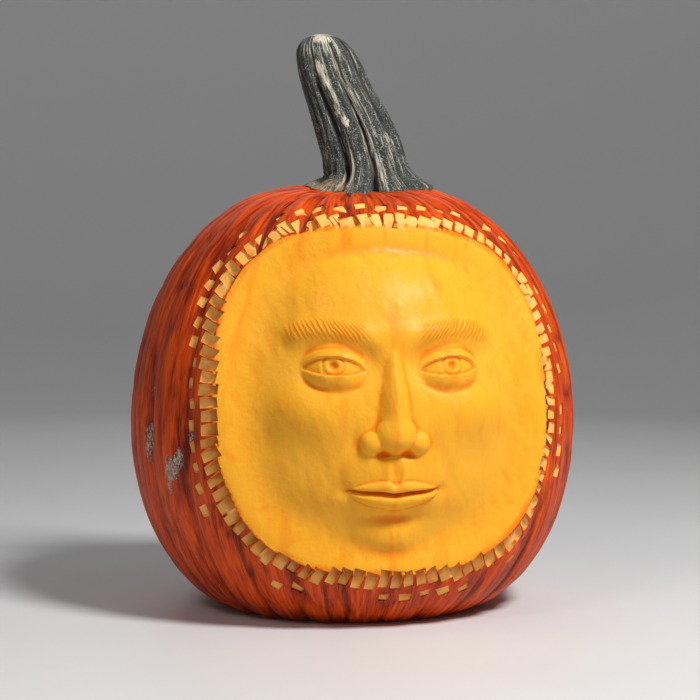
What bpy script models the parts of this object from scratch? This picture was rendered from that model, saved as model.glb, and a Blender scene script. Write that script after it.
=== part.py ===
"""A whole pumpkin with its stem on and a face carved into the side that looks along -Y.

Metres, +Z up. The origin is at the middle of the flat that the pumpkin rests on, under the middle of
its box. The face's own sizes are in millimetres: x across the face, z above the table, and heights
measured out from the rind, so that a height of -7 lies 7 mm deep in the flesh.
"""

import math
import random

import bmesh
import bpy
import numpy as np
from mathutils import Vector

MM = 0.001

# The body, as a ring-shaped profile: each half runs from the widest ring to the ring of its shoulder
BODY_RADIUS = 0.1542
WIDEST_HEIGHT = 0.1275
TOP_RISE = 0.1635
TOP_RING = 0.0335
BOTTOM_DROP = 0.1293
BOTTOM_RING = 0.0735
TOP_HOLLOW = 0.010
BOTTOM_HOLLOW = 0.005

# The shoulder sinks in front of the stem, fading out between these distances from the axis
SHOULDER_DIP = 0.0072
DIP_RADII = (0.045, 0.105)
DIP_POWER = 1.5

# The ribs
RIBS = 24
RIB_SEED = 11
RIB_UNEVENNESS = 0.13
RIB_DEPTHS = (0.0024, 0.0048)
RIB_SHARPNESS = 2.4
# The share of a groove's depth that is left where it reaches the shoulder's ring, and the underside's
GROOVE_AT_SHOULDER = 0.85
GROOVE_AT_UNDERSIDE = 0.55

# The carved field: a rounded square on the skin, measured along it from the field's middle
FIELD_HEIGHT = 0.152
FIELD_REACH = 0.1306
FIELD_WIDENING = 1.027
FIELD_ROUNDING = 2.4
FIELD_COSINE = 0.2
NOTCH_LENGTH = 0.0115
RIBS_END = (NOTCH_LENGTH - 0.002, NOTCH_LENGTH + 0.001)
FLESH_EDGE = -2.2
MARGIN_FALL = 15.0
MARGIN_SPREAD = 14.0
MARGIN_POWER = 1.5
MARGIN_BLEND = 3.0
MARGIN_STEP = (-0.6, 1.4)

# The face, in millimetres: its features are drawn for a head 200 wide and spread to fill the field
FACE_SPREAD = 1.10
FACE_STRETCH = 1.03
EYE_X = 37.0
EYE_Z = 169.0
EYE_HALF = 19.5

# The chisel cuts round the field: notches that run into it, and separate chips outside them
NOTCHES = 92
NOTCH_WIDTH = 0.0064
NOTCH_DEPTHS = (0.0008, 0.0066)
NOTCH_EASING = 0.50
NOTCH_DEEP_SIDE = math.radians(240)
NOTCH_DEEP_SPREAD = (0.25, 0.75)
NOTCH_STARTS = (-0.0017, 0.0013)
NOTCH_WIDTH_SHARES = (0.84, 1.20)
NOTCH_LENGTH_SHARES = (1.03, 1.20)
NOTCH_TILT = 0.14
NOTCH_SEED = 5
CHIPS = 62
CHIP_SIZE = 0.0068
CHIP_DEPTH = 0.0042
CHIP_GAP = 0.0056
CHIP_STARTS = (-0.0018, 0.0016)
CHIP_SIZE_SHARES = (0.82, 1.14)
CHIP_TILT = 0.16
CHIP_SEED = 23
CHIPS_LOW = -0.55
CHIP_SHARE_ABOVE = 0.85
CHIP_SHARE_BELOW = 0.30
# Some teeth between the notches have broken away, most of them at the upper right
BROKEN_SEED = 31
BROKEN_SHARES = (0.12, 0.34)
BROKEN_WIDTH = 0.0056
BROKEN_DEPTHS = (0.0015, 0.0031)
BROKEN_STARTS = (0.0012, 0.0050)
BROKEN_TILT = 0.2
# A cut that is turned aside also leans: one side of its floor lies deeper than the other
LEAN_PER_TILT = 2.0
CUTTER_PROUD = 0.006
CUT_DIRECTION_REACH = 0.010
TABLE_SIZE = 0.5

# The stem: height, middle across the view, middle away from the view, radius
STEM_SECTIONS = (
    (0.2700, 0.0100, -0.002, 0.0330),
    (0.2830, 0.0105, -0.002, 0.0410),
    (0.2895, 0.0107, -0.002, 0.0440),
    (0.2925, 0.0110, -0.002, 0.0405),
    (0.2962, 0.0112, -0.002, 0.0345),
    (0.3010, 0.0111, -0.001, 0.0306),
    (0.3090, 0.0093, 0.000, 0.0288),
    (0.3220, 0.0055, 0.001, 0.0285),
    (0.3390, -0.0010, 0.002, 0.0270),
    (0.3590, -0.0100, 0.003, 0.0240),
    (0.3750, -0.0155, 0.004, 0.0222),
    (0.3860, -0.0190, 0.004, 0.0190),
    (0.3925, -0.0205, 0.004, 0.0135),
    (0.3958, -0.0212, 0.004, 0.0065),
)
STEM_TIP = (0.3966, -0.0213, 0.004)
STEM_FACETS = 36
STEM_RIDGES = 9
STEM_RIDGE_SHARE = 0.105
STEM_CREST = 1.04
STEM_GROOVE_POWER = 0.55
STEM_TWIST = math.radians(4)
STEM_DEPTH_SHARE = 0.92
STEM_FOOT = (0.2890, 0.3060)
STEM_FOOT_RADIUS = 0.040
STEM_TOES = 0.13
STEM_TOE_LEVEL = 0.6
STEM_WAIST = 0.13
STEM_WAIST_HEIGHT = 0.2965
STEM_WAIST_SPREAD = 0.0040
VIEW_TURN = math.radians(-11)

# What counts as cut flesh, and as stem, when the faces are painted
CUT_DEPTH = 0.0024
FIELD_FRONT = -0.045
STEM_PROUD = 0.0003

# The body is drawn finely where it is carved and coarsely elsewhere, and then thinned to so many triangles
CARVED_TURN = math.radians(54)
CARVED_RISE = math.radians(50)
CARVED_MIDDLE = math.radians(4)
FINE_STEP = math.radians(0.62)
COARSE_TURN = math.radians(3)
COARSE_RISE = math.radians(5)
HOLLOW_SHARES = (0.8, 0.55, 0.3, 0.1)
BODY_TRIANGLES = 5350

# Name, colour and roughness of what shows on the outside, in the order of the faces' material numbers
SKINS = (
    ("rind", (0.62, 0.13, 0.012), 0.45),
    ("flesh", (0.86, 0.50, 0.07), 0.5),
    ("stem", (0.115, 0.125, 0.105), 0.85),
)


def clear_scene():
    for obj in list(bpy.data.objects):
        bpy.data.objects.remove(obj, do_unlink=True)


def material(name, colour, roughness):
    """A plain Principled material with one colour."""
    made = bpy.data.materials.new(name)
    made.use_nodes = True
    shader = made.node_tree.nodes["Principled BSDF"]
    shader.inputs["Base Color"].default_value = (*colour, 1.0)
    shader.inputs["Roughness"].default_value = roughness
    shader.inputs["Metallic"].default_value = 0.0
    return made


def smooth_step(value, low, high):
    """0 below low, 1 above high and an S-curve between them."""
    share = np.clip((value - low) / (high - low), 0.0, 1.0)
    return share * share * (3.0 - 2.0 * share)


def higher(a, b, blend):
    """The higher of two surfaces, blended where they meet."""
    return 0.5 * (a + b + np.sqrt((a - b) ** 2 + blend * blend))


def bump(x, z, centre_x, centre_z, half_width, half_height):
    """A soft round hill of height 1."""
    return np.exp(-(((x - centre_x) / half_width) ** 2) - ((z - centre_z) / half_height) ** 2)


def ball(x, z, centre_x, centre_z, radius, top):
    """The front of a ball whose nearest point reaches the height top."""
    apart = np.hypot(x - centre_x, z - centre_z)
    front = top - radius + np.sqrt(np.maximum(radius**2 - apart**2, 0.0))
    return front - 2.0 * np.maximum(apart - radius, 0.0)


def head_form(side, z):
    """The broad egg-shaped front of the head, with its forehead, cheekbones, muzzle and chin."""
    below = np.clip((150.0 - z) / 116.0, 0.0, None) ** 2.8
    above = np.clip((z - 150.0) / 168.0, 0.0, None) ** 2.2
    q = below + above + (side / 100.0) ** 2.5
    head = -27.0 + 13.5 * np.clip(1.0 - q, 0.0, None) ** 0.5 - 6.0 * np.clip(q - 1.0, 0.0, None)
    head += 5.6 * bump(side, z, 0.0, 220.0, 68.0, 34.0)
    head += 1.0 * bump(side, z, 32.0, 226.0, 18.0, 18.0)
    head -= 2.4 * bump(side, z, 78.0, 188.0, 13.0, 24.0)
    head += 5.6 * bump(side, z, 55.0, 141.0, 25.0, 17.0)
    head += 1.6 * bump(side, z, 66.0, 84.0, 20.0, 26.0)
    head -= 1.6 * bump(side, z, 52.0, 108.0, 16.0, 16.0)
    head += 5.0 * bump(side, z, 0.0, 92.0, 34.0, 24.0)
    head += 8.6 * bump(side, z, 0.0, 54.0, 25.0, 14.0)
    head -= 3.4 * bump(side, z, 0.0, 71.5, 18.0, 5.0)
    return head


def brow_form(side, z):
    """The ridge over each eye, which meets its twin softly over the nose."""
    ridge = 187.0 + 6.0 * bump(side, 0.0, 44.0, 0.0, 24.0, 1.0)
    along = smooth_step(side, 2.0, 18.0) * (1.0 - smooth_step(side, 54.0, 76.0))
    return 3.6 * along * np.exp(-(((z - ridge) / 8.5) ** 2)) + 2.2 * bump(side, z, 0.0, 189.0, 14.0, 12.0)


def lid_edges(side):
    """The heights of the upper and lower lid's edges across one eye, and how far out each point is."""
    across = (side - EYE_X) / EYE_HALF
    inside = np.clip(1.0 - across**2, 0.0, 1.0)
    level = EYE_Z + 0.9 * across
    return level + 7.0 * inside**0.62, level - 4.9 * inside**0.85, across


def eye_form(face, side, z):
    """The socket, the eyeball in it and the lids that lie over the ball."""
    face = face - 7.0 * bump(side, z, EYE_X, 171.0, 24.0, 13.0) - 3.0 * bump(side, z, 17.0, 174.0, 8.0, 11.0)
    eyeball = ball(side, z, EYE_X, EYE_Z + 0.5, 25.0, -10.4)
    upper, lower, across = lid_edges(side)
    open_share = 1.0 - across**2
    lids = higher(face, eyeball + 2.6, 1.2)
    lids -= 1.3 * np.exp(-(((z - upper - 6.2) / 1.7) ** 2)) * smooth_step(open_share, -0.2, 0.4)
    lids -= 0.9 * np.exp(-(((z - lower + 8.2) / 2.4) ** 2)) * smooth_step(open_share, -0.1, 0.6)
    apart = np.hypot(side - EYE_X, z - EYE_Z - 1.6)
    eyeball -= 0.8 * np.exp(-(((apart - 6.4) / 0.8) ** 2)) + 2.8 * np.exp(-((apart / 2.6) ** 4))
    opened = smooth_step(np.minimum(upper - z, z - lower), -0.3, 0.5) * (np.abs(across) < 1.0)
    return lids + (np.minimum(eyeball, lids) - lids) * opened


def nose_form(face, side, z):
    """Bridge, tip and wings joined, with the nostrils sunk under them."""
    down = smooth_step(-z, -182.0, -126.0)
    ridge_height = -10.2 + 6.4 * down + 1.2 * bump(0.0, z, 0.0, 154.0, 1.0, 11.0)
    half_width = 9.5 + 5.5 * down
    bridge = ridge_height - 14.0 * (1.0 - np.exp(-((side / half_width) ** 2.2))) - 0.3 * side
    bridge -= 16.0 * smooth_step(z, 176.0, 197.0) + 28.0 * (1.0 - smooth_step(z, 109.0, 124.0))
    nose = higher(bridge, ball(side, z, 0.0, 127.0, 13.5, -3.0), 2.0)
    nose = higher(nose, ball(side, z, 13.5, 121.5, 9.0, -7.4), 1.2)
    face = face - 2.0 * bump(side, z, 25.0, 122.0, 4.5, 9.0)
    face = higher(face, nose, 1.4)
    return face - 5.0 * bump(side, z, 7.8, 114.6, 4.6, 2.8)


def mouth_form(side, z):
    """Closed lips with a bow, the dip under the nose and the soft folds beside the mouth."""
    line = 90.0 - 0.9 * np.exp(-((side / 5.0) ** 2)) + 0.8 * (side / 28.0) ** 2
    shape = np.clip(1.0 - (side / 28.5) ** 2, 0.0, 1.0)
    bow = 8.8 * shape**0.8 - 1.7 * np.exp(-((side / 3.4) ** 2))
    fall = 10.4 * shape**0.6
    upper = np.clip((z - line) / np.maximum(bow, 0.5), 0.0, 1.0)
    lower = np.clip((line - z) / np.maximum(fall, 0.5), 0.0, 1.0)
    lips = 3.2 * (4.0 * upper * (1.0 - upper)) ** 0.65 * shape**0.5
    lips += 3.6 * (4.0 * lower * (1.0 - lower)) ** 0.65 * shape**0.5
    lips -= 3.8 * np.exp(-(((z - line) / 1.4) ** 2)) * smooth_step(-side, -31.5, -25.0)
    lips -= 2.0 * bump(side, z, 31.0, 90.5, 4.5, 4.5)
    lips += 0.9 * bump(side, z, 4.8, 105.0, 2.4, 7.5) - 0.9 * bump(side, z, 0.0, 105.5, 2.6, 8.0)
    fold = 27.0 + 0.42 * (120.0 - z)
    reach = smooth_step(z, 82.0, 100.0) * (1.0 - smooth_step(z, 112.0, 126.0))
    return lips - 1.5 * reach * np.exp(-(((side - fold) / 5.0) ** 2))


def face_height(x, z):
    """The carved face's height over the rind, before the margin round it is joined on."""
    side = np.abs(x) / FACE_SPREAD
    z = EYE_Z + (z - EYE_Z) / FACE_STRETCH
    face = head_form(side, z) + brow_form(side, z)
    face = eye_form(face, side, z)
    face = nose_form(face, side, z)
    return face + mouth_form(side, z)


def rib_edges():
    """The angles of the grooves between the ribs, unevenly spaced."""
    draw = random.Random(RIB_SEED)
    widths = np.array([1.0 + draw.uniform(-RIB_UNEVENNESS, RIB_UNEVENNESS) for _ in range(RIBS)])
    depths = np.array([draw.uniform(*RIB_DEPTHS) for _ in range(RIBS)])
    edges = np.concatenate([[0.0], np.cumsum(widths)]) * 2.0 * math.pi / widths.sum()
    return edges, depths


def groove_depth(turn):
    """How far the skin lies under the ribs' crests at an angle round the body."""
    edges, depths = rib_edges()
    turn = np.mod(turn, 2.0 * math.pi)
    rib = np.clip(np.searchsorted(edges, turn, side="right") - 1, 0, RIBS - 1)
    share = (turn - edges[rib]) / (edges[rib + 1] - edges[rib])
    depth = np.where(share < 0.5, depths[rib], depths[(rib + 1) % RIBS])
    return depth * np.abs(2.0 * share - 1.0) ** RIB_SHARPNESS


def profile(latitude):
    """Radius and height of the ribs' crests, for latitudes from -90 to 90 degrees, in radians."""
    cosine = np.cos(latitude)
    above = latitude > 0.0
    radius = np.where(above, TOP_RING + (BODY_RADIUS - TOP_RING) * cosine,
                      BOTTOM_RING + (BODY_RADIUS - BOTTOM_RING) * cosine)
    height = WIDEST_HEIGHT + np.where(above, TOP_RISE, BOTTOM_DROP) * np.sin(latitude)
    return radius, height


def shoulder_dip(turn, radius):
    """How far the shoulder sinks in front of the stem."""
    front = np.clip(np.cos(turn - VIEW_TURN), 0.0, 1.0) ** DIP_POWER
    return SHOULDER_DIP * front * (1.0 - smooth_step(radius, *DIP_RADII))


def skin_point(turn, latitude):
    """A point of the uncut skin, where the carved field has no ribs.

    Turn 0 looks along -Y, and turns grow towards +X.
    The grooves go in along the normal above the widest ring and level with the axis below it.
    """
    radius, height = profile(latitude)
    height = height - shoulder_dip(turn, radius)
    crest = np.stack([radius * np.sin(turn), -radius * np.cos(turn), height], axis=-1)
    uncarved = 1.0 - smooth_step(inward_from_edge(turn, latitude), *RIBS_END)
    above = latitude > 0.0
    share = np.where(above, GROOVE_AT_SHOULDER, GROOVE_AT_UNDERSIDE)
    fade = share + (1.0 - share) * np.cos(latitude)
    level = np.stack([np.sin(turn), -np.cos(turn), np.zeros_like(turn)], axis=-1)
    way = np.where(np.asarray(above)[..., None], skin_normal(turn, latitude), level)
    return crest - way * np.asarray(uncarved * fade * groove_depth(turn))[..., None]


def skin_normal(turn, latitude):
    """The outward direction of the crests' surface."""
    step = 1e-4
    radius_a, height_a = profile(latitude - step)
    radius_b, height_b = profile(latitude + step)
    out = height_b - height_a
    rise = radius_a - radius_b
    size = np.hypot(out, rise)
    out = out / size
    rise = rise / size
    return np.stack([out * np.sin(turn), -out * np.cos(turn), rise], axis=-1)


def field_latitude():
    return math.asin((FIELD_HEIGHT - WIDEST_HEIGHT) / TOP_RISE)


def meridian_lengths():
    """Latitudes, and the length along the skin from the field's middle up to each."""
    latitudes = np.linspace(-math.pi / 2, math.pi / 2, 2001)
    radius, height = profile(latitudes)
    steps = np.hypot(np.diff(radius), np.diff(height))
    lengths = np.concatenate([[0.0], np.cumsum(steps)])
    return latitudes, lengths - np.interp(field_latitude(), latitudes, lengths)


def inward_from_edge(turn, latitude):
    """How far a point lies inside the carved field, along the skin. Negative outside it."""
    latitudes, lengths = meridian_lengths()
    up = np.interp(latitude, latitudes, lengths)
    turn = (turn + math.pi) % (2.0 * math.pi) - math.pi
    across = turn * profile(latitude)[0] / FIELD_WIDENING
    spread = (np.abs(across) ** FIELD_ROUNDING + np.abs(up) ** FIELD_ROUNDING) ** (1.0 / FIELD_ROUNDING)
    return FIELD_REACH - spread


def edge_place(angle, inward):
    """Turn and latitude of a point at an angle round the field and at a distance inside its edge."""
    reach = FIELD_REACH - inward
    across = math.cos(angle)
    up = math.sin(angle)
    spread = (abs(across) ** FIELD_ROUNDING + abs(up) ** FIELD_ROUNDING) ** (1.0 / FIELD_ROUNDING)
    latitudes, lengths = meridian_lengths()
    latitude = float(np.interp(up * reach / spread, lengths, latitudes))
    return across * reach / spread * FIELD_WIDENING / float(profile(latitude)[0]), latitude


def carved_height(turn, latitude):
    """The carved surface's height over the rind, in metres."""
    inward = (inward_from_edge(turn, latitude) - NOTCH_LENGTH) / MM
    radius, height = profile(latitude)
    x = radius * np.sin(turn) / MM
    z = height / MM
    fall = 1.0 - np.exp(-((np.maximum(inward, 0.0) / MARGIN_SPREAD) ** MARGIN_POWER))
    margin = FLESH_EDGE - MARGIN_FALL * fall
    carved = np.minimum(higher(face_height(x, z), margin, MARGIN_BLEND), FLESH_EDGE)
    front = np.cos(turn) > FIELD_COSINE
    return np.where(front, carved * smooth_step(inward, *MARGIN_STEP), 0.0) * MM


def spaced(low, high, middle, fine_reach, coarse_step):
    """Angles from low to high, with fine steps round the middle and coarse ones beyond."""
    start = middle - fine_reach
    stop = middle + fine_reach
    before = np.linspace(low, start, round((start - low) / coarse_step), endpoint=False)
    fine = np.linspace(start, stop, round(2.0 * fine_reach / FINE_STEP), endpoint=False)
    after = np.linspace(stop, high, round((high - stop) / coarse_step) + 1)
    return np.concatenate([before, fine, after])


def ring_faces(rows, columns):
    """Quads between rows of points that close round."""
    index = np.arange(rows * columns).reshape(rows, columns)
    onward = np.roll(index, -1, axis=1)
    quads = np.stack([index[:-1], onward[:-1], onward[1:], index[1:]], axis=-1)
    return quads.reshape(-1, 4).tolist()


def mesh_object(name, points, faces):
    mesh = bpy.data.meshes.new(name)
    mesh.from_pydata([tuple(point) for point in points], [], faces)
    mesh.validate()
    obj = bpy.data.objects.new(name, mesh)
    bpy.context.collection.objects.link(obj)
    return obj


def apply_modifiers(obj):
    """Keeps the object's evaluated shape as its own mesh."""
    graph = bpy.context.evaluated_depsgraph_get()
    shaped = bpy.data.meshes.new_from_object(obj.evaluated_get(graph))
    old = obj.data
    obj.modifiers.clear()
    obj.data = shaped
    bpy.data.meshes.remove(old)


def combine(obj, other, operation):
    """One Boolean, applied, after which the other object is gone."""
    boolean = obj.modifiers.new(operation.title(), "BOOLEAN")
    boolean.operation = operation
    boolean.solver = "MANIFOLD"
    boolean.object = other
    apply_modifiers(obj)
    bpy.data.objects.remove(other, do_unlink=True)


def hollow(ring, depth):
    """Rows from a shoulder ring inwards, which dip to the middle of the hollow inside it."""
    level = ring[:, 2].mean()
    rows = []
    for share in HOLLOW_SHARES:
        row = ring.copy()
        row[:, :2] *= share
        row[:, 2] = level + (row[:, 2] - level) * share - depth * (1.0 - share**2) ** 2
        rows.append(row)
    return rows


def body():
    """The ribbed body with its carved relief, as one closed surface from pole to pole."""
    turns = spaced(-math.pi, math.pi, 0.0, CARVED_TURN, COARSE_TURN)[:-1]
    latitudes = spaced(-math.pi / 2, math.pi / 2, CARVED_MIDDLE, CARVED_RISE, COARSE_RISE)
    turn, latitude = np.meshgrid(turns, latitudes)
    carved = carved_height(turn, latitude)[..., None]
    rows = list(skin_point(turn, latitude) + skin_normal(turn, latitude) * carved)
    rows = hollow(rows[0], -BOTTOM_HOLLOW)[::-1] + rows + hollow(rows[-1], TOP_HOLLOW)
    columns = len(turns)
    faces = ring_faces(len(rows), columns)
    last = (len(rows) - 1) * columns
    triangles = 2 * len(faces)
    faces.append(list(range(columns))[::-1])
    faces.append(list(range(last, last + columns)))
    made = mesh_object("pumpkin", np.concatenate(rows), faces)
    fewer = made.modifiers.new("Fewer faces", "DECIMATE")
    fewer.ratio = BODY_TRIANGLES / triangles
    apply_modifiers(made)
    return made


def stem():
    """The ridged, leaning stem, with a foot that spreads over the shoulder."""
    across = Vector((math.cos(VIEW_TURN), math.sin(VIEW_TURN), 0.0))
    away = Vector((-math.sin(VIEW_TURN), math.cos(VIEW_TURN), 0.0))
    lowest = STEM_SECTIONS[0][0]
    points = []
    for height, right, back, radius in STEM_SECTIONS:
        share = (height - lowest) / (STEM_TIP[0] - lowest)
        foot = 1.0 - float(smooth_step(height, *STEM_FOOT))
        for facet in range(STEM_FACETS):
            angle = 2.0 * math.pi * facet / STEM_FACETS
            ridge = 2.0 * abs(math.sin(STEM_RIDGES * angle / 2.0)) ** STEM_GROOVE_POWER - 1.0
            size = STEM_CREST + STEM_RIDGE_SHARE * (ridge - 1.0) * (1.0 - share**4)
            size = radius * (size + STEM_TOES * (ridge - STEM_TOE_LEVEL) * foot)
            waist = math.exp(-(((height - STEM_WAIST_HEIGHT) / STEM_WAIST_SPREAD) ** 2))
            size -= radius * STEM_WAIST * waist * max(-math.cos(angle), 0.0)
            turned = angle + STEM_TWIST * share
            point = across * (right + size * math.cos(turned))
            point += away * (back + size * STEM_DEPTH_SHARE * math.sin(turned))
            dip = float(shoulder_dip(math.atan2(point.x, -point.y), 0.0)) * foot
            points.append((point.x, point.y, height - dip * min(size / STEM_FOOT_RADIUS, 1.0)))
    tip = across * STEM_TIP[1] + away * STEM_TIP[2]
    points.append((tip.x, tip.y, STEM_TIP[0]))
    faces = ring_faces(len(STEM_SECTIONS), STEM_FACETS)
    faces.append(list(range(STEM_FACETS))[::-1])
    top = len(points) - 1
    last = top - STEM_FACETS
    faces += [[last + facet, last + (facet + 1) % STEM_FACETS, top] for facet in range(STEM_FACETS)]
    return mesh_object("stem", points, faces)


def wedge(maker, turn, latitude, inwards, width, length, depths, tilt):
    """A square-ended chisel cut: shallow at its outer end and deep at its inner end."""
    place = Vector(skin_point(turn, latitude))
    out = Vector(skin_normal(turn, latitude))
    along = (inwards - out * inwards.dot(out)).normalized()
    along = (along + along.cross(out) * tilt).normalized()
    across = along.cross(out)
    corners = []
    for reach, depth in ((0.0, depths[0]), (length, depths[1])):
        for side in (-0.5, 0.5):
            foot = place + along * reach + across * side * width
            corners.append(maker.verts.new(foot - out * depth * (1.0 + 2.0 * side * tilt * LEAN_PER_TILT)))
            corners.append(maker.verts.new(foot + out * CUTTER_PROUD))
    a, b, c, d, e, f, g, h = corners
    for face in ((a, b, d, c), (e, g, h, f), (a, e, f, b), (c, d, h, g), (a, c, g, e), (b, f, h, d)):
        maker.faces.new(face)


def cut_direction(angle, inward):
    """The direction along the skin from a point near the edge towards the field's middle."""
    here = Vector(skin_point(*edge_place(angle, inward)))
    further = Vector(skin_point(*edge_place(angle, inward + CUT_DIRECTION_REACH)))
    return (further - here).normalized()


def even_angles(count, inward):
    """Angles round the field whose points are evenly spaced along its edge."""
    angles = np.linspace(0.0, 2.0 * math.pi, 721)
    places = np.array([skin_point(*edge_place(angle, inward)) for angle in angles])
    lengths = np.concatenate([[0.0], np.cumsum(np.linalg.norm(np.diff(places, axis=0), axis=1))])
    return np.interp(np.arange(count) * lengths[-1] / count, lengths, angles)


def chisel_cuts():
    """The ring of notches round the field, and the separate chips outside it."""
    maker = bmesh.new()
    draw = random.Random(NOTCH_SEED)
    for angle in even_angles(NOTCHES, 0.0):
        inward = draw.uniform(*NOTCH_STARTS)
        turn, latitude = edge_place(angle, inward)
        shallow = 1.0 - float(smooth_step(math.cos(angle - NOTCH_DEEP_SIDE), *NOTCH_DEEP_SPREAD))
        width = NOTCH_WIDTH * draw.uniform(*NOTCH_WIDTH_SHARES)
        length = NOTCH_LENGTH * draw.uniform(*NOTCH_LENGTH_SHARES) - inward
        depths = (NOTCH_DEPTHS[0], NOTCH_DEPTHS[1] * (1.0 - NOTCH_EASING * shallow))
        wedge(maker, turn, latitude, cut_direction(angle, inward), width, length, depths,
              draw.uniform(-NOTCH_TILT, NOTCH_TILT))
    draw = random.Random(CHIP_SEED)
    for angle in even_angles(CHIPS, -CHIP_GAP):
        share = CHIP_SHARE_BELOW if math.sin(angle) < CHIPS_LOW else CHIP_SHARE_ABOVE
        wanted = draw.random() < share
        chip = CHIP_SIZE * draw.uniform(*CHIP_SIZE_SHARES)
        outward = -CHIP_GAP - chip + draw.uniform(*CHIP_STARTS)
        tilt = draw.uniform(-CHIP_TILT, CHIP_TILT)
        if wanted:
            turn, latitude = edge_place(angle, outward)
            depths = (NOTCH_DEPTHS[0], CHIP_DEPTH)
            wedge(maker, turn, latitude, cut_direction(angle, outward), chip, chip, depths, tilt)
    return cutter("chisel cuts", maker)


def broken_teeth():
    """Shallow cuts between some of the notches, where the tooth between them has broken away."""
    maker = bmesh.new()
    draw = random.Random(BROKEN_SEED)
    angles = even_angles(NOTCHES, 0.0)
    for angle, onward in zip(angles, np.append(angles[1:], 2.0 * math.pi)):
        angle = (angle + onward) / 2.0
        upper_right = max(0.0, math.cos(angle - math.pi / 4))
        share = BROKEN_SHARES[0] + (BROKEN_SHARES[1] - BROKEN_SHARES[0]) * upper_right
        wanted = draw.random() < share
        start = draw.uniform(*BROKEN_STARTS)
        tilt = draw.uniform(-BROKEN_TILT, BROKEN_TILT)
        if wanted:
            turn, latitude = edge_place(angle, start)
            inwards = cut_direction(angle, start)
            wedge(maker, turn, latitude, inwards, BROKEN_WIDTH, NOTCH_LENGTH - start, BROKEN_DEPTHS, tilt)
    return cutter("broken teeth", maker)


def cutter(name, maker):
    """An object from what the maker holds, with its faces turned outwards."""
    bmesh.ops.recalc_face_normals(maker, faces=maker.faces)
    mesh = bpy.data.meshes.new(name)
    maker.to_mesh(mesh)
    maker.free()
    made = bpy.data.objects.new(name, mesh)
    bpy.context.collection.objects.link(made)
    return made


def table_cutter():
    """A block under the height 0, which leaves the flat that the pumpkin rests on."""
    maker = bmesh.new()
    bmesh.ops.create_cube(maker, size=TABLE_SIZE)
    bmesh.ops.translate(maker, verts=maker.verts, vec=(0.0, 0.0, -TABLE_SIZE / 2.0))
    return cutter("table", maker)


def centre_over_origin(obj):
    """Moves the mesh so that the middle of its box stands over the origin."""
    corners = np.array([vertex.co for vertex in obj.data.vertices])
    middle = (corners.min(axis=0) + corners.max(axis=0)) / 2.0
    for vertex in obj.data.vertices:
        vertex.co.x -= middle[0]
        vertex.co.y -= middle[1]


def depth_under_skin(points):
    """How far points lie inside the crests' surface, along a line to the middle of the body."""
    latitudes = np.linspace(-math.pi / 2, math.pi / 2, 721)
    radius, height = profile(latitudes)
    slopes = np.arctan2(height - WIDEST_HEIGHT, radius)
    spans = np.hypot(radius, height - WIDEST_HEIGHT)
    level = np.hypot(points[:, 0], points[:, 1])
    up = points[:, 2] - WIDEST_HEIGHT
    return np.interp(np.arctan2(up, level), slopes, spans) - np.hypot(level, up)


def paint(obj):
    """Gives the rind, the carved flesh and the stem their own materials."""
    obj.data.materials.clear()
    for name, colour, roughness in SKINS:
        obj.data.materials.append(material(name, colour, roughness))
    centres = np.array([face.center for face in obj.data.polygons])
    deep = depth_under_skin(centres)
    cut = (deep > CUT_DEPTH) & (centres[:, 1] < FIELD_FRONT)
    proud = (deep < -STEM_PROUD) & (centres[:, 2] > STEM_SECTIONS[1][0])
    kinds = np.where(proud, 2, np.where(cut, 1, 0))
    obj.data.polygons.foreach_set("material_index", kinds.astype(np.int32))


def main():
    clear_scene()
    pumpkin = body()
    combine(pumpkin, chisel_cuts(), "DIFFERENCE")
    combine(pumpkin, broken_teeth(), "DIFFERENCE")
    combine(pumpkin, stem(), "UNION")
    combine(pumpkin, table_cutter(), "DIFFERENCE")
    paint(pumpkin)
    centre_over_origin(pumpkin)


main()
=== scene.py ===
"""A carved pumpkin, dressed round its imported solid.

Every piece is a surface worked out with numpy. The body is a ring-shaped profile turned round the upright
axis, with ribs, furrows and a carved relief sunk into it, and the chisel cuts are taken out of it. The stem
is a ridged profile carried up a leaning path. The face's sizes are in millimetres: x across the face, z above
the table, and heights measured out from the rind, so that -7 lies 7 mm deep in the flesh. All other sizes
are in metres.
"""

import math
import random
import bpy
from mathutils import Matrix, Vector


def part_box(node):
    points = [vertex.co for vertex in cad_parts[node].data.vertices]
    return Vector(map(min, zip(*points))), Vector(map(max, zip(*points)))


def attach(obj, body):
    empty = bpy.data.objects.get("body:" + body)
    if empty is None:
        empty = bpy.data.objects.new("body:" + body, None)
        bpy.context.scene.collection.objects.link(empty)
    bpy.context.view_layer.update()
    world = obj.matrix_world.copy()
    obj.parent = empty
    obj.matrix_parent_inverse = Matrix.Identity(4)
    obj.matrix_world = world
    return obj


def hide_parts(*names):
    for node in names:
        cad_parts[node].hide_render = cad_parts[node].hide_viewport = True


bl_info = {
    "name": "Carved Pumpkin",
    "version": (1, 0, 0),
    "blender": (4, 5, 0),
    "location": "3D View > Sidebar > Pumpkin",
    "description": "Grows a ribbed pumpkin, carves a face into it and sets its stem",
    "category": "Add Mesh",
}

import bmesh
import bpy
import numpy as np
from bpy.props import FloatProperty, FloatVectorProperty, IntProperty, PointerProperty
from mathutils import Vector

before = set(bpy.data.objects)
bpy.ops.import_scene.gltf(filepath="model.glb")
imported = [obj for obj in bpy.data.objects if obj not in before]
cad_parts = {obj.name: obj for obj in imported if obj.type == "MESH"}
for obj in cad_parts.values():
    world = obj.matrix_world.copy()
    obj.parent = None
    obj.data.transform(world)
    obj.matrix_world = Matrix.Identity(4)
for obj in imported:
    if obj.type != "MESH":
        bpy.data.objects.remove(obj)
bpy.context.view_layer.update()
CAD_LOW, CAD_HIGH = (np.array(corner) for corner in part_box("pumpkin"))

MM = 0.001
FULL_TURN = 2.0 * math.pi
# How far the finished pieces stay inside the solid's box
FIT_INSET = 0.00008

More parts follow.
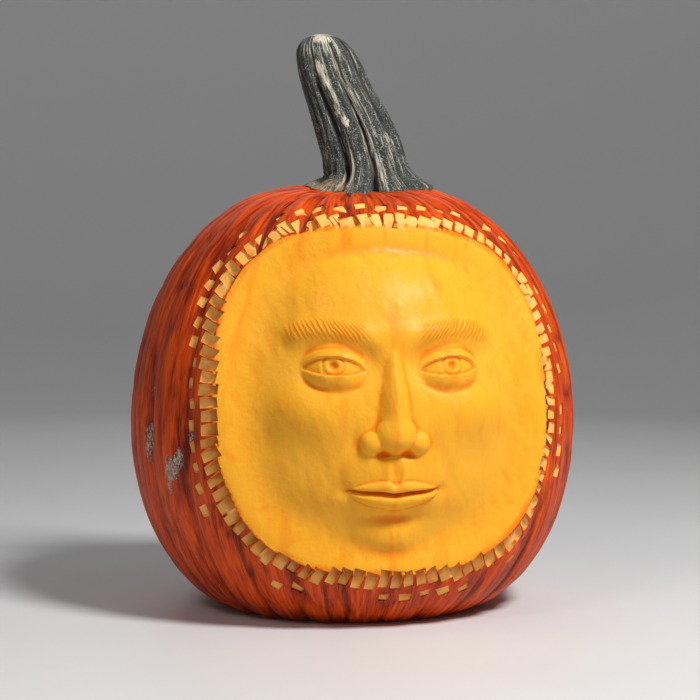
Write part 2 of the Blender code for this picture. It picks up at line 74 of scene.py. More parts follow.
# The body's profile: each half runs from the widest ring to the ring of its shoulder
BODY_RADIUS = 0.1542
WIDEST_HEIGHT = 0.1275
TOP_RISE = 0.1635
TOP_RING = 0.0335
BOTTOM_DROP = 0.1293
BOTTOM_RING = 0.0735
TOP_HOLLOW = 0.010
BOTTOM_HOLLOW = 0.005
HOLLOW_SHARES = np.array((0.94, 0.86, 0.76, 0.64, 0.5, 0.36, 0.22, 0.1))

# The shoulder sinks in front of the stem, fading out between these distances from the axis
SHOULDER_DIP = 0.0072
DIP_RADII = (0.045, 0.105)
DIP_POWER = 1.5

# The ribs
RIBS = 24
RIB_SEED = 11
RIB_UNEVENNESS = 0.13
RIB_SHARPNESS = 2.4
# The share of a groove's depth that is left where it reaches the shoulder's ring, and the underside's
GROOVE_AT_SHOULDER = 0.85
GROOVE_AT_UNDERSIDE = 0.55
# Where the ribs end, measured from the notches' inner ends
RIBS_END = (-0.002, 0.001)

# The furrows: their mean, and the cosines of the turn from the view over which they fade in
FURROW_MEAN = 0.34
FURROW_FADE = (-0.50, 0.05)

# The carved field: a rounded square on the skin, measured along it from the field's middle
FIELD_HEIGHT = 0.152
FIELD_REACH = 0.1306
FIELD_WIDENING = 1.027
FIELD_ROUNDING = 2.4
FLESH_EDGE = -2.2
MARGIN_FALL = 15.0
MARGIN_SPREAD = 14.0
MARGIN_POWER = 1.5
MARGIN_BLEND = 3.0
# In millimetres past the notches' inner ends: where the margin drops, and where the knife's marks fade in
MARGIN_STEP = (-0.6, 0.9)
MARKS_FADE = (1.0, 8.0)
# The field lies on the front alone, where the turn's cosine is over this
FIELD_COSINE = 0.2

# How finely the body is drawn: where each stretch ends, and its step, in radians round the body and up it
BACK_TURN = math.radians(112)
TURN_STOPS = (-math.pi, -BACK_TURN, -0.88, -0.44, 0.44, 0.88, BACK_TURN, math.pi)
TURN_STEPS = (0.055, 0.027, 0.0105, 0.0064, 0.0105, 0.027, 0.055)
RISE_STOPS = (-math.pi / 2, -0.80, -0.40, 0.48, 1.02, 1.30, math.pi / 2)
RISE_STEPS = (0.045, 0.0115, 0.0062, 0.0105, 0.018, 0.034)
SHARP_ANGLE = math.radians(48)

# The face, in millimetres: its features are drawn for a head 200 wide and spread to fill the field
FACE_SPREAD = 1.10
FACE_STRETCH = 1.03
EYE_X = 37.0
EYE_Z = 169.0
EYE_HALF = 19.5
# The head's soft hills and hollows: height, place aside, place above the table, half width, half height
HEAD_HILLS = (
    (5.6, 0.0, 220.0, 68.0, 34.0),  # forehead
    (1.0, 32.0, 226.0, 18.0, 18.0),  # its two crests
    (-2.4, 78.0, 188.0, 13.0, 24.0),  # temples
    (5.6, 55.0, 141.0, 25.0, 17.0),  # cheekbones
    (1.6, 66.0, 84.0, 20.0, 26.0),  # jaw
    (-1.6, 52.0, 108.0, 16.0, 16.0),  # cheeks
    (5.0, 0.0, 92.0, 34.0, 24.0),  # round the mouth
    (8.6, 0.0, 54.0, 25.0, 14.0),  # chin
    (-3.4, 0.0, 71.5, 18.0, 5.0),  # over the chin
)

# Corky scars: turn in degrees, height, half width, half height
SCARS = (
    (-62.4, 0.0960, 0.0034, 0.0130),
    (-60.6, 0.1010, 0.0044, 0.0085),
    (-58.0, 0.1085, 0.0028, 0.0070),
    (-72.8, 0.1150, 0.0042, 0.0120),
    (-70.8, 0.1230, 0.0026, 0.0085),
    (-53.6, 0.1230, 0.0018, 0.0060),
    (-71.0, 0.1490, 0.0020, 0.0060),
    (118.0, 0.170, 0.0050, 0.0090),
    (-148.0, 0.075, 0.0060, 0.0120),
)

# How the flesh's creases are found, for the painted shade in them: passes of averaging, and the depth in
# millimetres that counts as full
CREASE_PASSES = 8
CREASE_DEPTH = 0.75

# The chisel cuts round the field: notches that run into it, deepest at the lower left
NOTCH_SEED = 5
NOTCH_EASING = 0.50
NOTCH_DEEP_SIDE = math.radians(240)
NOTCH_DEEP_SPREAD = (0.25, 0.75)
NOTCH_STARTS = (-0.0017, 0.0013)
NOTCH_WIDTH_SHARES = (0.84, 1.20)
NOTCH_LENGTH_SHARES = (1.03, 1.20)
NOTCH_TILT = 0.14

# Separate chips outside them, at some of so many places, and fewer of them low down
CHIP_SEED = 23
CHIPS = 62
CHIP_GAP = 0.0056
CHIP_STARTS = (-0.0018, 0.0016)
CHIP_SIZE_SHARES = (0.82, 1.14)
CHIP_TILT = 0.16
CHIP_SHARE_ABOVE = 0.85
CHIP_SHARE_BELOW = 0.30
CHIPS_LOW = -0.55

# Some teeth between the notches have broken away, most of them at the upper right
BROKEN_SEED = 31
BROKEN_SHARES = (0.12, 0.34)
BROKEN_WIDTH = 0.0056
BROKEN_DEPTHS = (0.0015, 0.0031)
BROKEN_STARTS = (0.0012, 0.0050)
BROKEN_TILT = 0.2

# Each cut's form: it leans as it is turned, widens from its outer to its inner end, and its walls slope
LEAN_PER_TILT = 2.0
CUT_FLARE = (0.96, 1.16)
CUT_WALL_SLOPE = 1.10
CUTTER_PROUD = 0.006
CUT_DIRECTION_REACH = 0.010
TABLE_SIZE = 0.5

# The stem: height, middle across the view, middle away from the view, radius
STEM_SECTIONS = np.array((
    (0.2700, 0.0100, -0.002, 0.0330),
    (0.2830, 0.0105, -0.002, 0.0410),
    (0.2895, 0.0107, -0.002, 0.0440),
    (0.2925, 0.0110, -0.002, 0.0405),
    (0.2962, 0.0112, -0.002, 0.0345),
    (0.3010, 0.0111, -0.001, 0.0306),
    (0.3090, 0.0093, 0.000, 0.0288),
    (0.3220, 0.0055, 0.001, 0.0285),
    (0.3390, -0.0010, 0.002, 0.0270),
    (0.3590, -0.0100, 0.003, 0.0240),
    (0.3750, -0.0155, 0.004, 0.0222),
    (0.3860, -0.0190, 0.004, 0.0190),
    (0.3925, -0.0205, 0.004, 0.0135),
    (0.3958, -0.0212, 0.004, 0.0065),
))
STEM_TIP = (0.3966, -0.0213, 0.004)
STEM_ROWS = 220
STEM_SIDES = 300
STEM_DEPTH_SHARE = 0.92
STEM_CREST = 1.04
STEM_GROOVE_POWER = 0.55
# How long the stem is in its grain's units, in which it is 1 in radius
STEM_GRAIN = 3.4
STEM_FOOT = (0.2890, 0.3060)
STEM_FOOT_RADIUS = 0.040
STEM_TOES = 0.13
STEM_TOE_LEVEL = 0.6
STEM_WAIST = 0.13
STEM_WAIST_HEIGHT = 0.2965
STEM_WAIST_SPREAD = 0.0040

# Where the stem is worn pale and where its cream streaks gather: degrees round it, height, half widths
STEM_WORN = (
    (-111.0, 0.3700, 9.5, 0.0085),
    (-108.0, 0.3610, 8.0, 0.0080),
    (-109.0, 0.3400, 6.0, 0.0055),
    (-103.0, 0.3330, 7.0, 0.0055),
    (-92.0, 0.3925, 34.0, 0.0060),
)
STEM_STREAKS = (
    (-79.0, 0.3600, 9.0, 0.0400),
    (-90.0, 0.3860, 40.0, 0.0110),
    (-106.0, 0.3490, 5.0, 0.0120),
    (-72.0, 0.3100, 6.0, 0.0250),
    (-58.0, 0.2930, 12.0, 0.0120),
    (-48.0, 0.3150, 8.0, 0.0200),
    (-112.0, 0.3050, 9.0, 0.0160),
    (60.0, 0.3300, 20.0, 0.0400),
)

# The round floor: its level radius, the radius of the bend and the height of the wall round it
FLOOR_REACH = 2.2
FLOOR_BEND = 1.2
FLOOR_TOP = 1.6
FLOOR_STEPS = 25
FLOOR_SIDES = 96

# The soft lights: their places and sizes, and the point they face
LIGHTS = {
    "key": ((0.58, -0.98, 1.40), 0.40),
    "fill": ((-0.85, -1.00, 1.25), 0.45),
    "back": ((0.1, 1.8, 1.5), 1.8),
}
LIGHT_TARGET = (0.0, 0.0, 0.17)

# The photograph's camera
VIEW_TURN = math.radians(-11)
VIEW_DISTANCE = 1.16
VIEW_HEIGHT = 0.200
VIEW_DROP = math.radians(1.21)
VIEW_LENS = 85.0
SENSOR_WIDTH = 36.0
IMAGE_SIZE = 700
AXIS_PIXEL = 352


class PumpkinBodySettings(bpy.types.PropertyGroup):
    """Sizes and colours of the rind and its ribs."""

    rib_least: FloatProperty(
        name="Shallowest rib", description="Depth of the shallowest groove between ribs",
        default=0.0024, unit="LENGTH", precision=4)
    rib_most: FloatProperty(
        name="Deepest rib", description="Depth of the deepest groove between ribs",
        default=0.0048, unit="LENGTH", precision=4)
    furrow: FloatProperty(
        name="Furrows", description="Depth of the small furrows along the ribs",
        default=0.0015, unit="LENGTH", precision=4)
    rind: FloatVectorProperty(
        name="Rind", description="Main colour of the rind",
        default=(0.60, 0.052, 0.0016), subtype="COLOR")
    rind_bright: FloatVectorProperty(
        name="Bright rind", description="Lighter streaks in the rind",
        default=(0.82, 0.102, 0.0024), subtype="COLOR")
    # Used for real dark streaks and also as painted shade in the rib grooves and furrows
    rind_dark_and_groove_shade: FloatVectorProperty(
        name="Deep rind", description="Darker streaks and furrows",
        default=(0.135, 0.0085, 0.0012), subtype="COLOR")
    rind_speck: FloatVectorProperty(
        name="Rind specks", description="Small pale specks on the rind",
        default=(0.85, 0.36, 0.10), subtype="COLOR")
    scar: FloatVectorProperty(
        name="Scar", description="Corky patches on the rind",
        default=(0.34, 0.27, 0.21), subtype="COLOR")
    scar_pale: FloatVectorProperty(
        name="Pale scar", description="Dry pale flakes in the corky patches",
        default=(0.74, 0.70, 0.62), subtype="COLOR")


class PumpkinCarvingSettings(bpy.types.PropertyGroup):
    """Sizes and colours of the cut flesh."""

    notches: IntProperty(
        name="Notches", description="Chisel cuts round the carved field", default=92, min=8)
    notch_width: FloatProperty(
        name="Notch width", description="Width of one chisel cut",
        default=0.0064, unit="LENGTH", precision=4)
    notch_length: FloatProperty(
        name="Notch length", description="Length of one chisel cut",
        default=0.0115, unit="LENGTH", precision=4)
    notch_shallow: FloatProperty(
        name="Outer depth", description="Depth of a chisel cut at its outer end",
        default=0.0008, unit="LENGTH", precision=4)
    notch_deep: FloatProperty(
        name="Inner depth", description="Depth of a chisel cut at its inner end",
        default=0.0066, unit="LENGTH", precision=4)
    chip: FloatProperty(
        name="Chip size", description="Side of the separate square chips outside the notches",
        default=0.0068, unit="LENGTH", precision=4)
    chip_deep: FloatProperty(
        name="Chip depth", description="Depth of a square chip at its inner end",
        default=0.0042, unit="LENGTH", precision=4)
    flesh: FloatVectorProperty(
        name="Flesh", description="Main colour of the cut flesh",
        default=(0.89, 0.405, 0.022), subtype="COLOR")
    flesh_edge: FloatVectorProperty(
        name="Flesh by the rind", description="Flesh just under the rind",
        default=(0.86, 0.215, 0.004), subtype="COLOR")
    flesh_pale: FloatVectorProperty(
        name="Deep flesh", description="Flesh deep under the rind",
        default=(0.91, 0.47, 0.055), subtype="COLOR")
    flesh_pit: FloatVectorProperty(
        name="Pits", description="Small dark pits in the flesh",
        default=(0.42, 0.10, 0.01), subtype="COLOR")
    # The notch floors' paleness is partly the cut flesh's own colour and partly painted light
    notch_floor_and_painted_light: FloatVectorProperty(
        name="Notch floors", description="Pale flesh on the floors of the chisel cuts",
        default=(0.97, 0.53, 0.150), subtype="COLOR")
    # Painted shade: the deep ends of the notches are painted darker
    notch_depth_painted_shade: FloatVectorProperty(
        name="Notch depths", description="Flesh at the deep ends of the chisel cuts",
        default=(0.60, 0.19, 0.022), subtype="COLOR")


class PumpkinStemSettings(bpy.types.PropertyGroup):
    """Sizes and colours of the stem."""

    ridges: IntProperty(
        name="Ridges", description="Main ridges round the stem", default=9, min=5)
    ridge_share: FloatProperty(
        name="Ridge height", description="Height of a ridge, as a share of the radius",
        default=0.105, subtype="FACTOR")
    twist: FloatProperty(
        name="Twist", description="How far the ridges turn from foot to tip",
        default=math.radians(4), unit="ROTATION")
    bark: FloatVectorProperty(
        name="Bark", description="Grey-green of the ridges",
        default=(0.066, 0.078, 0.072), subtype="COLOR")
    # Used for random dark tone in the bark and also as painted shade in the grooves
    bark_dark_and_groove_shade: FloatVectorProperty(
        name="Dark bark", description="Near-black of the grooves",
        default=(0.010, 0.010, 0.009), subtype="COLOR")
    streak: FloatVectorProperty(
        name="Streaks", description="Cream streaks and dusty specks",
        default=(0.70, 0.67, 0.52), subtype="COLOR")
    tan: FloatVectorProperty(
        name="Tan", description="Brown of the foot and some grooves",
        default=(0.155, 0.098, 0.052), subtype="COLOR")
    wood: FloatVectorProperty(
        name="Wood", description="Pale fibres of the woody foot",
        default=(0.40, 0.28, 0.16), subtype="COLOR")
    worn: FloatVectorProperty(
        name="Worn", description="Worn patches and the dry tip",
        default=(0.90, 0.82, 0.62), subtype="COLOR")


class PumpkinStageSettings(bpy.types.PropertyGroup):
    """Floor and lights."""

    floor: FloatVectorProperty(
        name="Floor", description="Colour of the floor", default=(0.72, 0.72, 0.72), subtype="COLOR")
    key: FloatProperty(
        name="Key light", description="Power of the main soft light", default=31.0, unit="POWER")
    fill: FloatProperty(
        name="Fill light", description="Power of the soft light on the other side",
        default=3.0, unit="POWER")
    back: FloatProperty(
        name="Back light", description="Power of the wide light behind", default=5.0, unit="POWER")
    sky: FloatProperty(
        name="Ambient", description="Strength of the even light from all round", default=0.11)


def smooth_step(value, low, high):
    """0 below low, 1 above high and an S-curve between them."""
    share = np.clip((value - low) / (high - low), 0.0, 1.0)
    return share * share * (3.0 - 2.0 * share)


def higher(a, b, blend):
    """The higher of two surfaces, blended where they meet."""
    return 0.5 * (a + b + np.sqrt((a - b) ** 2 + blend * blend))


def bump(x, z, centre_x, centre_z, half_width, half_height):
    """A soft round hill of height 1."""
    return np.exp(-(((x - centre_x) / half_width) ** 2) - ((z - centre_z) / half_height) ** 2)


def ball(x, z, centre_x, centre_z, radius, top):
    """The front of a ball whose nearest point reaches the height top."""
    apart = np.hypot(x - centre_x, z - centre_z)
    front = top - radius + np.sqrt(np.maximum(radius**2 - apart**2, 0.0))
    return front - 2.0 * np.maximum(apart - radius, 0.0)


def patches(u, v, seed, columns=64, rows=64):
    """Smooth noise from 0 to 1: random values on a grid, joined with S-curves.

    It repeats after columns and rows.
    """
    values = np.random.default_rng(seed).random((rows, columns))
    left = np.floor(u).astype(int)
    low = np.floor(v).astype(int)
    across = u - left
    up = v - low
    across = across * across * (3.0 - 2.0 * across)
    up = up * up * (3.0 - 2.0 * up)
    near = values[low % rows, left % columns]
    right = values[low % rows, (left + 1) % columns]
    above = values[(low + 1) % rows, left % columns]
    far = values[(low + 1) % rows, (left + 1) % columns]
    return (near + (right - near) * across) * (1.0 - up) + (above + (far - above) * across) * up


def head_form(side, z):
    """The broad egg-shaped front of the head, with its forehead, cheekbones, muzzle and chin."""
    below = np.clip((150.0 - z) / 116.0, 0.0, None) ** 2.8
    above = np.clip((z - 150.0) / 168.0, 0.0, None) ** 2.2
    q = below + above + (side / 100.0) ** 2.5
    head = -27.0 + 13.5 * np.clip(1.0 - q, 0.0, None) ** 0.5 - 6.0 * np.clip(q - 1.0, 0.0, None)
    for rise, aside, middle, half_width, half_height in HEAD_HILLS:
        head += rise * bump(side, z, aside, middle, half_width, half_height)
    return head


def brow_ridge(side):
    """The height of the brow's crest, which arches over the eye."""
    return 187.0 + 6.0 * bump(side, 0.0, 44.0, 0.0, 24.0, 1.0)


def brow_hair(side, z):
    """Where the brow's hairs lie, from 0 to 1, and the angle of the wave that draws them as strokes."""
    ridge = brow_ridge(side)
    haired = smooth_step(side, 13.0, 22.0) * (1.0 - smooth_step(side, 56.0, 70.0))
    haired = haired * np.exp(-(((z - ridge - 1.5) / 5.6) ** 4))
    lean = side * 0.70 - (z - ridge) * (0.62 - 0.006 * side)
    wander = 7.0 * patches(side / 7.0, z / 9.0, 81) + 2.4 * patches(side / 2.6, z / 5.0, 82)
    return haired, lean * FULL_TURN / 2.1 + wander


def brow_form(side, z):
    """The ridge over each eye, which meets its twin over the nose, with the brow's hairs cut into it."""
    ridge = brow_ridge(side)
    along = smooth_step(side, 2.0, 18.0) * (1.0 - smooth_step(side, 54.0, 76.0))
    brow = 3.6 * along * np.exp(-(((z - ridge) / 8.5) ** 2)) + 2.2 * bump(side, z, 0.0, 189.0, 14.0, 12.0)
    haired, wave = brow_hair(side, z)
    return brow + haired * (0.9 + 0.30 * patches(side / 1.9, z / 6.0, 83) * np.sin(wave))


def lid_edges(side):
    """The heights of the upper and lower lid's edges across one eye, and how far out each point is."""
    across = (side - EYE_X) / EYE_HALF
    inside = np.clip(1.0 - across**2, 0.0, 1.0)
    level = EYE_Z + 0.9 * across
    return level + 7.0 * inside**0.62, level - 4.9 * inside**0.85, across


def eye_form(face, side, z):
    """The socket, the eyeball in it and the lids that lie over the ball."""
    face = face - 7.0 * bump(side, z, EYE_X, 171.0, 24.0, 13.0) - 3.0 * bump(side, z, 17.0, 174.0, 8.0, 11.0)
    eyeball = ball(side, z, EYE_X, EYE_Z + 0.5, 25.0, -10.4)
    upper, lower, across = lid_edges(side)
    open_share = 1.0 - across**2
    lids = higher(face, eyeball + 2.6, 1.2)
    lids -= 1.3 * np.exp(-(((z - upper - 6.2) / 1.7) ** 2)) * smooth_step(open_share, -0.2, 0.4)
    lids -= 0.9 * np.exp(-(((z - lower + 8.2) / 2.4) ** 2)) * smooth_step(open_share, -0.1, 0.6)
    apart = np.hypot(side - EYE_X, z - EYE_Z - 1.6)
    eyeball -= 0.8 * np.exp(-(((apart - 6.4) / 0.8) ** 2)) + 2.8 * np.exp(-((apart / 2.6) ** 4))
    opened = smooth_step(np.minimum(upper - z, z - lower), -0.7, 0.9) * (np.abs(across) < 1.0)
    return lids + (np.minimum(eyeball, lids) - lids) * opened


def nose_form(face, side, z):
    """Bridge, tip and wings joined, with the nostrils sunk under them."""
    down = smooth_step(-z, -182.0, -126.0)
    ridge_height = -10.2 + 6.4 * down + 1.2 * bump(0.0, z, 0.0, 154.0, 1.0, 11.0)
    half_width = 9.5 + 5.5 * down
    bridge = ridge_height - 14.0 * (1.0 - np.exp(-((side / half_width) ** 2.2))) - 0.3 * side
    bridge -= 16.0 * smooth_step(z, 176.0, 197.0) + 28.0 * (1.0 - smooth_step(z, 109.0, 124.0))
    nose = higher(bridge, ball(side, z, 0.0, 127.0, 13.5, -3.0), 2.0)
    nose = higher(nose, ball(side, z, 13.5, 121.5, 9.0, -7.4), 1.2)
    face = face - 2.0 * bump(side, z, 25.0, 122.0, 4.5, 9.0)
    face = higher(face, nose, 1.4)
    return face - 5.0 * bump(side, z, 7.8, 114.6, 4.6, 2.8)


def mouth_form(side, z):
    """Closed lips with a bow, the dip under the nose and the soft folds beside the mouth."""
    line = 90.0 - 0.9 * np.exp(-((side / 5.0) ** 2)) + 0.8 * (side / 28.0) ** 2
    shape = np.clip(1.0 - (side / 28.5) ** 2, 0.0, 1.0)
    bow = 8.8 * shape**0.8 - 1.7 * np.exp(-((side / 3.4) ** 2))
    fall = 10.4 * shape**0.6
    upper = np.clip((z - line) / np.maximum(bow, 0.5), 0.0, 1.0)
    lower = np.clip((line - z) / np.maximum(fall, 0.5), 0.0, 1.0)
    lips = 3.2 * (4.0 * upper * (1.0 - upper)) ** 0.65 * shape**0.5
    lips += 3.6 * (4.0 * lower * (1.0 - lower)) ** 0.65 * shape**0.5
    lips -= 3.8 * np.exp(-(((z - line) / 1.4) ** 2)) * smooth_step(-side, -31.5, -25.0)
    lips -= 2.0 * bump(side, z, 31.0, 90.5, 4.5, 4.5)
    lips += 0.9 * bump(side, z, 4.8, 105.0, 2.4, 7.5) - 0.9 * bump(side, z, 0.0, 105.5, 2.6, 8.0)
    fold = 27.0 + 0.42 * (120.0 - z)
    reach = smooth_step(z, 82.0, 100.0) * (1.0 - smooth_step(z, 112.0, 126.0))
    return lips - 1.5 * reach * np.exp(-(((side - fold) / 5.0) ** 2))


def face_height(x, z):
    """The carved face's height over the rind, before the margin round it is joined on."""
    side = np.abs(x) / FACE_SPREAD
    z = EYE_Z + (z - EYE_Z) / FACE_STRETCH
    face = head_form(side, z) + brow_form(side, z)
    face = eye_form(face, side, z)
    face = nose_form(face, side, z)
    return face + mouth_form(side, z)


def tool_marks(x, z):
    """The knife's shallow strokes and the flesh's own unevenness, in millimetres."""
    strokes = patches(x / 5.0 + z / 16.0, z / 13.0 - x / 40.0, 41)
    grain = patches(x / 2.4, z / 2.6, 43)
    broad = patches(x / 17.0, z / 15.0, 47)
    return 0.42 * (strokes - 0.5) + 0.13 * (grain - 0.5) + 0.7 * (broad - 0.5)


def rib_edges():
    """The angles of the grooves between the ribs, unevenly spaced, and each groove's depth."""
    settings = bpy.context.scene.pumpkin_body
    draw = random.Random(RIB_SEED)
    widths = np.array([1.0 + draw.uniform(-RIB_UNEVENNESS, RIB_UNEVENNESS) for _ in range(RIBS)])
    depths = np.array([draw.uniform(settings.rib_least, settings.rib_most) for _ in range(RIBS)])
    edges = np.concatenate([[0.0], np.cumsum(widths)]) * FULL_TURN / widths.sum()
    return edges, depths


def groove_depth(turn):
    """How far the skin lies under the ribs' crests: the groove's depth times a power of the way to it."""
    edges, depths = rib_edges()
    turn = np.mod(turn, FULL_TURN)
    rib = np.clip(np.searchsorted(edges, turn, side="right") - 1, 0, RIBS - 1)
    share = (turn - edges[rib]) / (edges[rib + 1] - edges[rib])
    depth = np.where(share < 0.5, depths[rib], depths[(rib + 1) % RIBS])
    return depth * np.abs(2.0 * share - 1.0) ** RIB_SHARPNESS


def furrow_depth(turn, latitude):
    """Small furrows that wander along the ribs, from 0 to 1: noise drawn out lengthwise, folded into creases.

    They fade to their mean round the back, where the mesh is coarser.
    """
    wander = patches(turn * 12 / FULL_TURN, latitude * 3.0, 61, 12)
    around = turn * 96.0 / FULL_TURN + 1.6 * wander
    creases = 1.0 - np.abs(2.0 * patches(around, latitude * 4.2 + 7.0, 62, 96) - 1.0)
    finer = patches(turn * 210.0 / FULL_TURN, latitude * 9.0 + 3.0, 63, 210)
    cross = patches(turn * 40.0 / FULL_TURN, latitude * 26.0, 64, 40)
    near = smooth_step(np.cos(turn - VIEW_TURN), *FURROW_FADE)
    return FURROW_MEAN + near * (0.62 * creases**3 + 0.25 * finer + 0.13 * cross - FURROW_MEAN)


def profile(latitude):
    """Radius and height of the ribs' crests, for latitudes from -90 to 90 degrees, in radians."""
    cosine = np.cos(latitude)
    above = latitude > 0.0
    radius = np.where(above, TOP_RING + (BODY_RADIUS - TOP_RING) * cosine,
                      BOTTOM_RING + (BODY_RADIUS - BOTTOM_RING) * cosine)
    height = WIDEST_HEIGHT + np.where(above, TOP_RISE, BOTTOM_DROP) * np.sin(latitude)
    return radius, height


def shoulder_dip(turn, radius):
    """How far the shoulder sinks in front of the stem: a power of the cosine, faded out with the radius."""
    front = np.clip(np.cos(turn - VIEW_TURN), 0.0, 1.0) ** DIP_POWER
    return SHOULDER_DIP * front * (1.0 - smooth_step(radius, *DIP_RADII))


def crest_point(turn, latitude):
    """A point of the smooth surface over the ribs' crests, which dips in front of the stem."""
    radius, height = profile(latitude)
    height = height - shoulder_dip(turn, radius)
    return np.stack([radius * np.sin(turn), -radius * np.cos(turn), height], axis=-1)


def skin_normal(turn, latitude):
    """The outward direction of the crests' surface."""
    step = 1e-4
    radius_a, height_a = profile(latitude - step)
    radius_b, height_b = profile(latitude + step)
    out = height_b - height_a
    rise = radius_a - radius_b
    size = np.hypot(out, rise)
    out = out / size
    rise = rise / size
    return np.stack([out * np.sin(turn), -out * np.cos(turn), rise], axis=-1)


def meridian_lengths():
    """Latitudes, and the length along the skin from the field's middle up to each."""
    latitudes = np.linspace(-math.pi / 2, math.pi / 2, 2001)
    radius, height = profile(latitudes)
    lengths = np.concatenate([[0.0], np.cumsum(np.hypot(np.diff(radius), np.diff(height)))])
    middle = math.asin((FIELD_HEIGHT - WIDEST_HEIGHT) / TOP_RISE)
    return latitudes, lengths - np.interp(middle, latitudes, lengths)


def inward_from_edge(turn, latitude):
    """How far a point lies inside the carved field, along the skin. Negative outside it."""
    latitudes, lengths = meridian_lengths()
    up = np.interp(latitude, latitudes, lengths)
    turn = (turn + math.pi) % FULL_TURN - math.pi
    across = turn * profile(latitude)[0] / FIELD_WIDENING
    spread = (np.abs(across) ** FIELD_ROUNDING + np.abs(up) ** FIELD_ROUNDING) ** (1.0 / FIELD_ROUNDING)
    return FIELD_REACH - spread


def edge_place(angle, inward):
    """Turn and latitude of a point at an angle round the field and at a distance inside its edge."""
    reach = FIELD_REACH - inward
    across = math.cos(angle)
    up = math.sin(angle)
    spread = (abs(across) ** FIELD_ROUNDING + abs(up) ** FIELD_ROUNDING) ** (1.0 / FIELD_ROUNDING)
    latitudes, lengths = meridian_lengths()
    latitude = float(np.interp(up * reach / spread, lengths, latitudes))
    return across * reach / spread * FIELD_WIDENING / float(profile(latitude)[0]), latitude


def under_rind(turn, latitude):
    """Metres of rind and flesh taken off at each point: the carved height, and none outside the field."""
    notch_length = bpy.context.scene.pumpkin_carving.notch_length
    inward = (inward_from_edge(turn, latitude) - notch_length) / MM
    radius, height = profile(latitude)
    x = radius * np.sin(turn) / MM
    z = height / MM
    fallen = 1.0 - np.exp(-((np.maximum(inward, 0.0) / MARGIN_SPREAD) ** MARGIN_POWER))
    margin = FLESH_EDGE - MARGIN_FALL * fallen
    carved = higher(face_height(x, z), margin, MARGIN_BLEND)
    carved += tool_marks(x, z) * smooth_step(inward, *MARKS_FADE)
    carved = np.minimum(carved, FLESH_EDGE)
    front = np.cos(turn) > FIELD_COSINE
    return np.where(front, -carved * smooth_step(inward, *MARGIN_STEP), 0.0) * MM


def skin_sink(turn, latitude):
    """How far the uncut skin lies under the crests: its grooves and furrows, flattened in the field."""
    settings = bpy.context.scene.pumpkin_body
    notch_length = bpy.context.scene.pumpkin_carving.notch_length
    inward = inward_from_edge(turn, latitude) - notch_length
    uncarved = 1.0 - smooth_step(inward, *RIBS_END)
    left = np.where(latitude > 0.0, GROOVE_AT_SHOULDER, GROOVE_AT_UNDERSIDE)
    fade = left + (1.0 - left) * np.cos(latitude)
    return uncarved * fade * (groove_depth(turn) + settings.furrow * furrow_depth(turn, latitude))


def body_surface(turn, latitude):
    """The crests' surface, less the grooves, less the carving along the normal.

    The grooves go in along the normal above the widest ring and level with the axis below it.
    """
    normal = skin_normal(turn, latitude)
    level = np.stack([np.sin(turn), -np.cos(turn), np.zeros_like(turn)], axis=-1)
    groove_way = np.where((latitude > 0.0)[..., None], normal, level)
    points = crest_point(turn, latitude) - groove_way * skin_sink(turn, latitude)[..., None]
    return points - normal * under_rind(turn, latitude)[..., None]


def settle(points):
    """Moves the pumpkin's own places into the frame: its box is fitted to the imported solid's box."""
    turn, latitude = np.meshgrid(np.linspace(-math.pi, math.pi, 721), np.linspace(-0.6, 0.9, 151))
    reach = body_surface(turn, latitude).reshape(-1, 3)
    low = np.append(reach.min(axis=0)[:2], 0.0)
    high = np.append(reach.max(axis=0)[:2], STEM_TIP[0])
    inset = np.array((FIT_INSET, FIT_INSET, 0.0))
    return CAD_LOW + inset + (points - low) / (high - low) * (CAD_HIGH - CAD_LOW - 2.0 * inset)


def spaced(stops, steps):
    """Positions from the first stop to the last, with each stretch's own step."""
    parts = []
    for start, stop, step in zip(stops[:-1], stops[1:], steps):
        parts.append(np.linspace(start, stop, max(1, round((stop - start) / step)), endpoint=False))
    return np.concatenate(parts + [[stops[-1]]])


def ring_faces(rows, columns):
    """Quads between rows of points that close round."""
    index = np.arange(rows * columns).reshape(rows, columns)
    onward = np.roll(index, -1, axis=1)
    quads = np.stack([index[:-1], onward[:-1], onward[1:], index[1:]], axis=-1)
    return quads.reshape(-1, 4)


def closed_rows(name, rows):
    """A mesh from rows of points that close round, with a point at each pole: the mean of its last row."""
    count, columns = rows.shape[:2]
    poles = np.stack([rows[0].mean(axis=0), rows[-1].mean(axis=0)])
    points = np.concatenate([rows.reshape(-1, 3), poles])
    index = np.arange(columns)
    onward = np.roll(index, -1)
    last = (count - 1) * columns
    first_cap = np.stack([onward, index, np.full(columns, count * columns)], axis=-1)
    last_cap = np.stack([last + index, last + onward, np.full(columns, count * columns + 1)], axis=-1)
    mesh = bpy.data.meshes.new(name)
    faces = ring_faces(count, columns).tolist() + first_cap.tolist() + last_cap.tolist()
    mesh.from_pydata(points.tolist(), [], faces)
    mesh.update()
    return mesh


def add_object(name, mesh):
    made = bpy.data.objects.new(name, mesh)
    bpy.context.collection.objects.link(made)
    return made


def corner_values(mesh, name, values):
    """Keeps one number for each point on the corners of its faces, where a Boolean blends it."""
    corners = np.empty(len(mesh.loops), np.int32)
    mesh.loops.foreach_get("vertex_index", corners)
    layer = mesh.attributes.new(name, "FLOAT", "CORNER")
    layer.data.foreach_set("value", np.asarray(values, np.float32)[corners])


def point_values(mesh, name, values):
    """Keeps one number, or one vector, for each point."""
    kind, part = ("FLOAT_VECTOR", "vector") if values.ndim == 2 else ("FLOAT", "value")
    layer = mesh.attributes.new(name, kind, "POINT")
    layer.data.foreach_set(part, values.astype(np.float32).reshape(-1))


def point_places(mesh):
    """The places of a mesh's points, as rows of x, y and z."""
    places = np.empty(len(mesh.vertices) * 3, np.float32)
    mesh.vertices.foreach_get("co", places)
    return places.reshape(-1, 3).astype(np.float64)


def ride_and_replace(piece):
    """Ties a finished piece to the one body, in place of its solid."""
    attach(piece, "root")
    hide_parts("pumpkin")


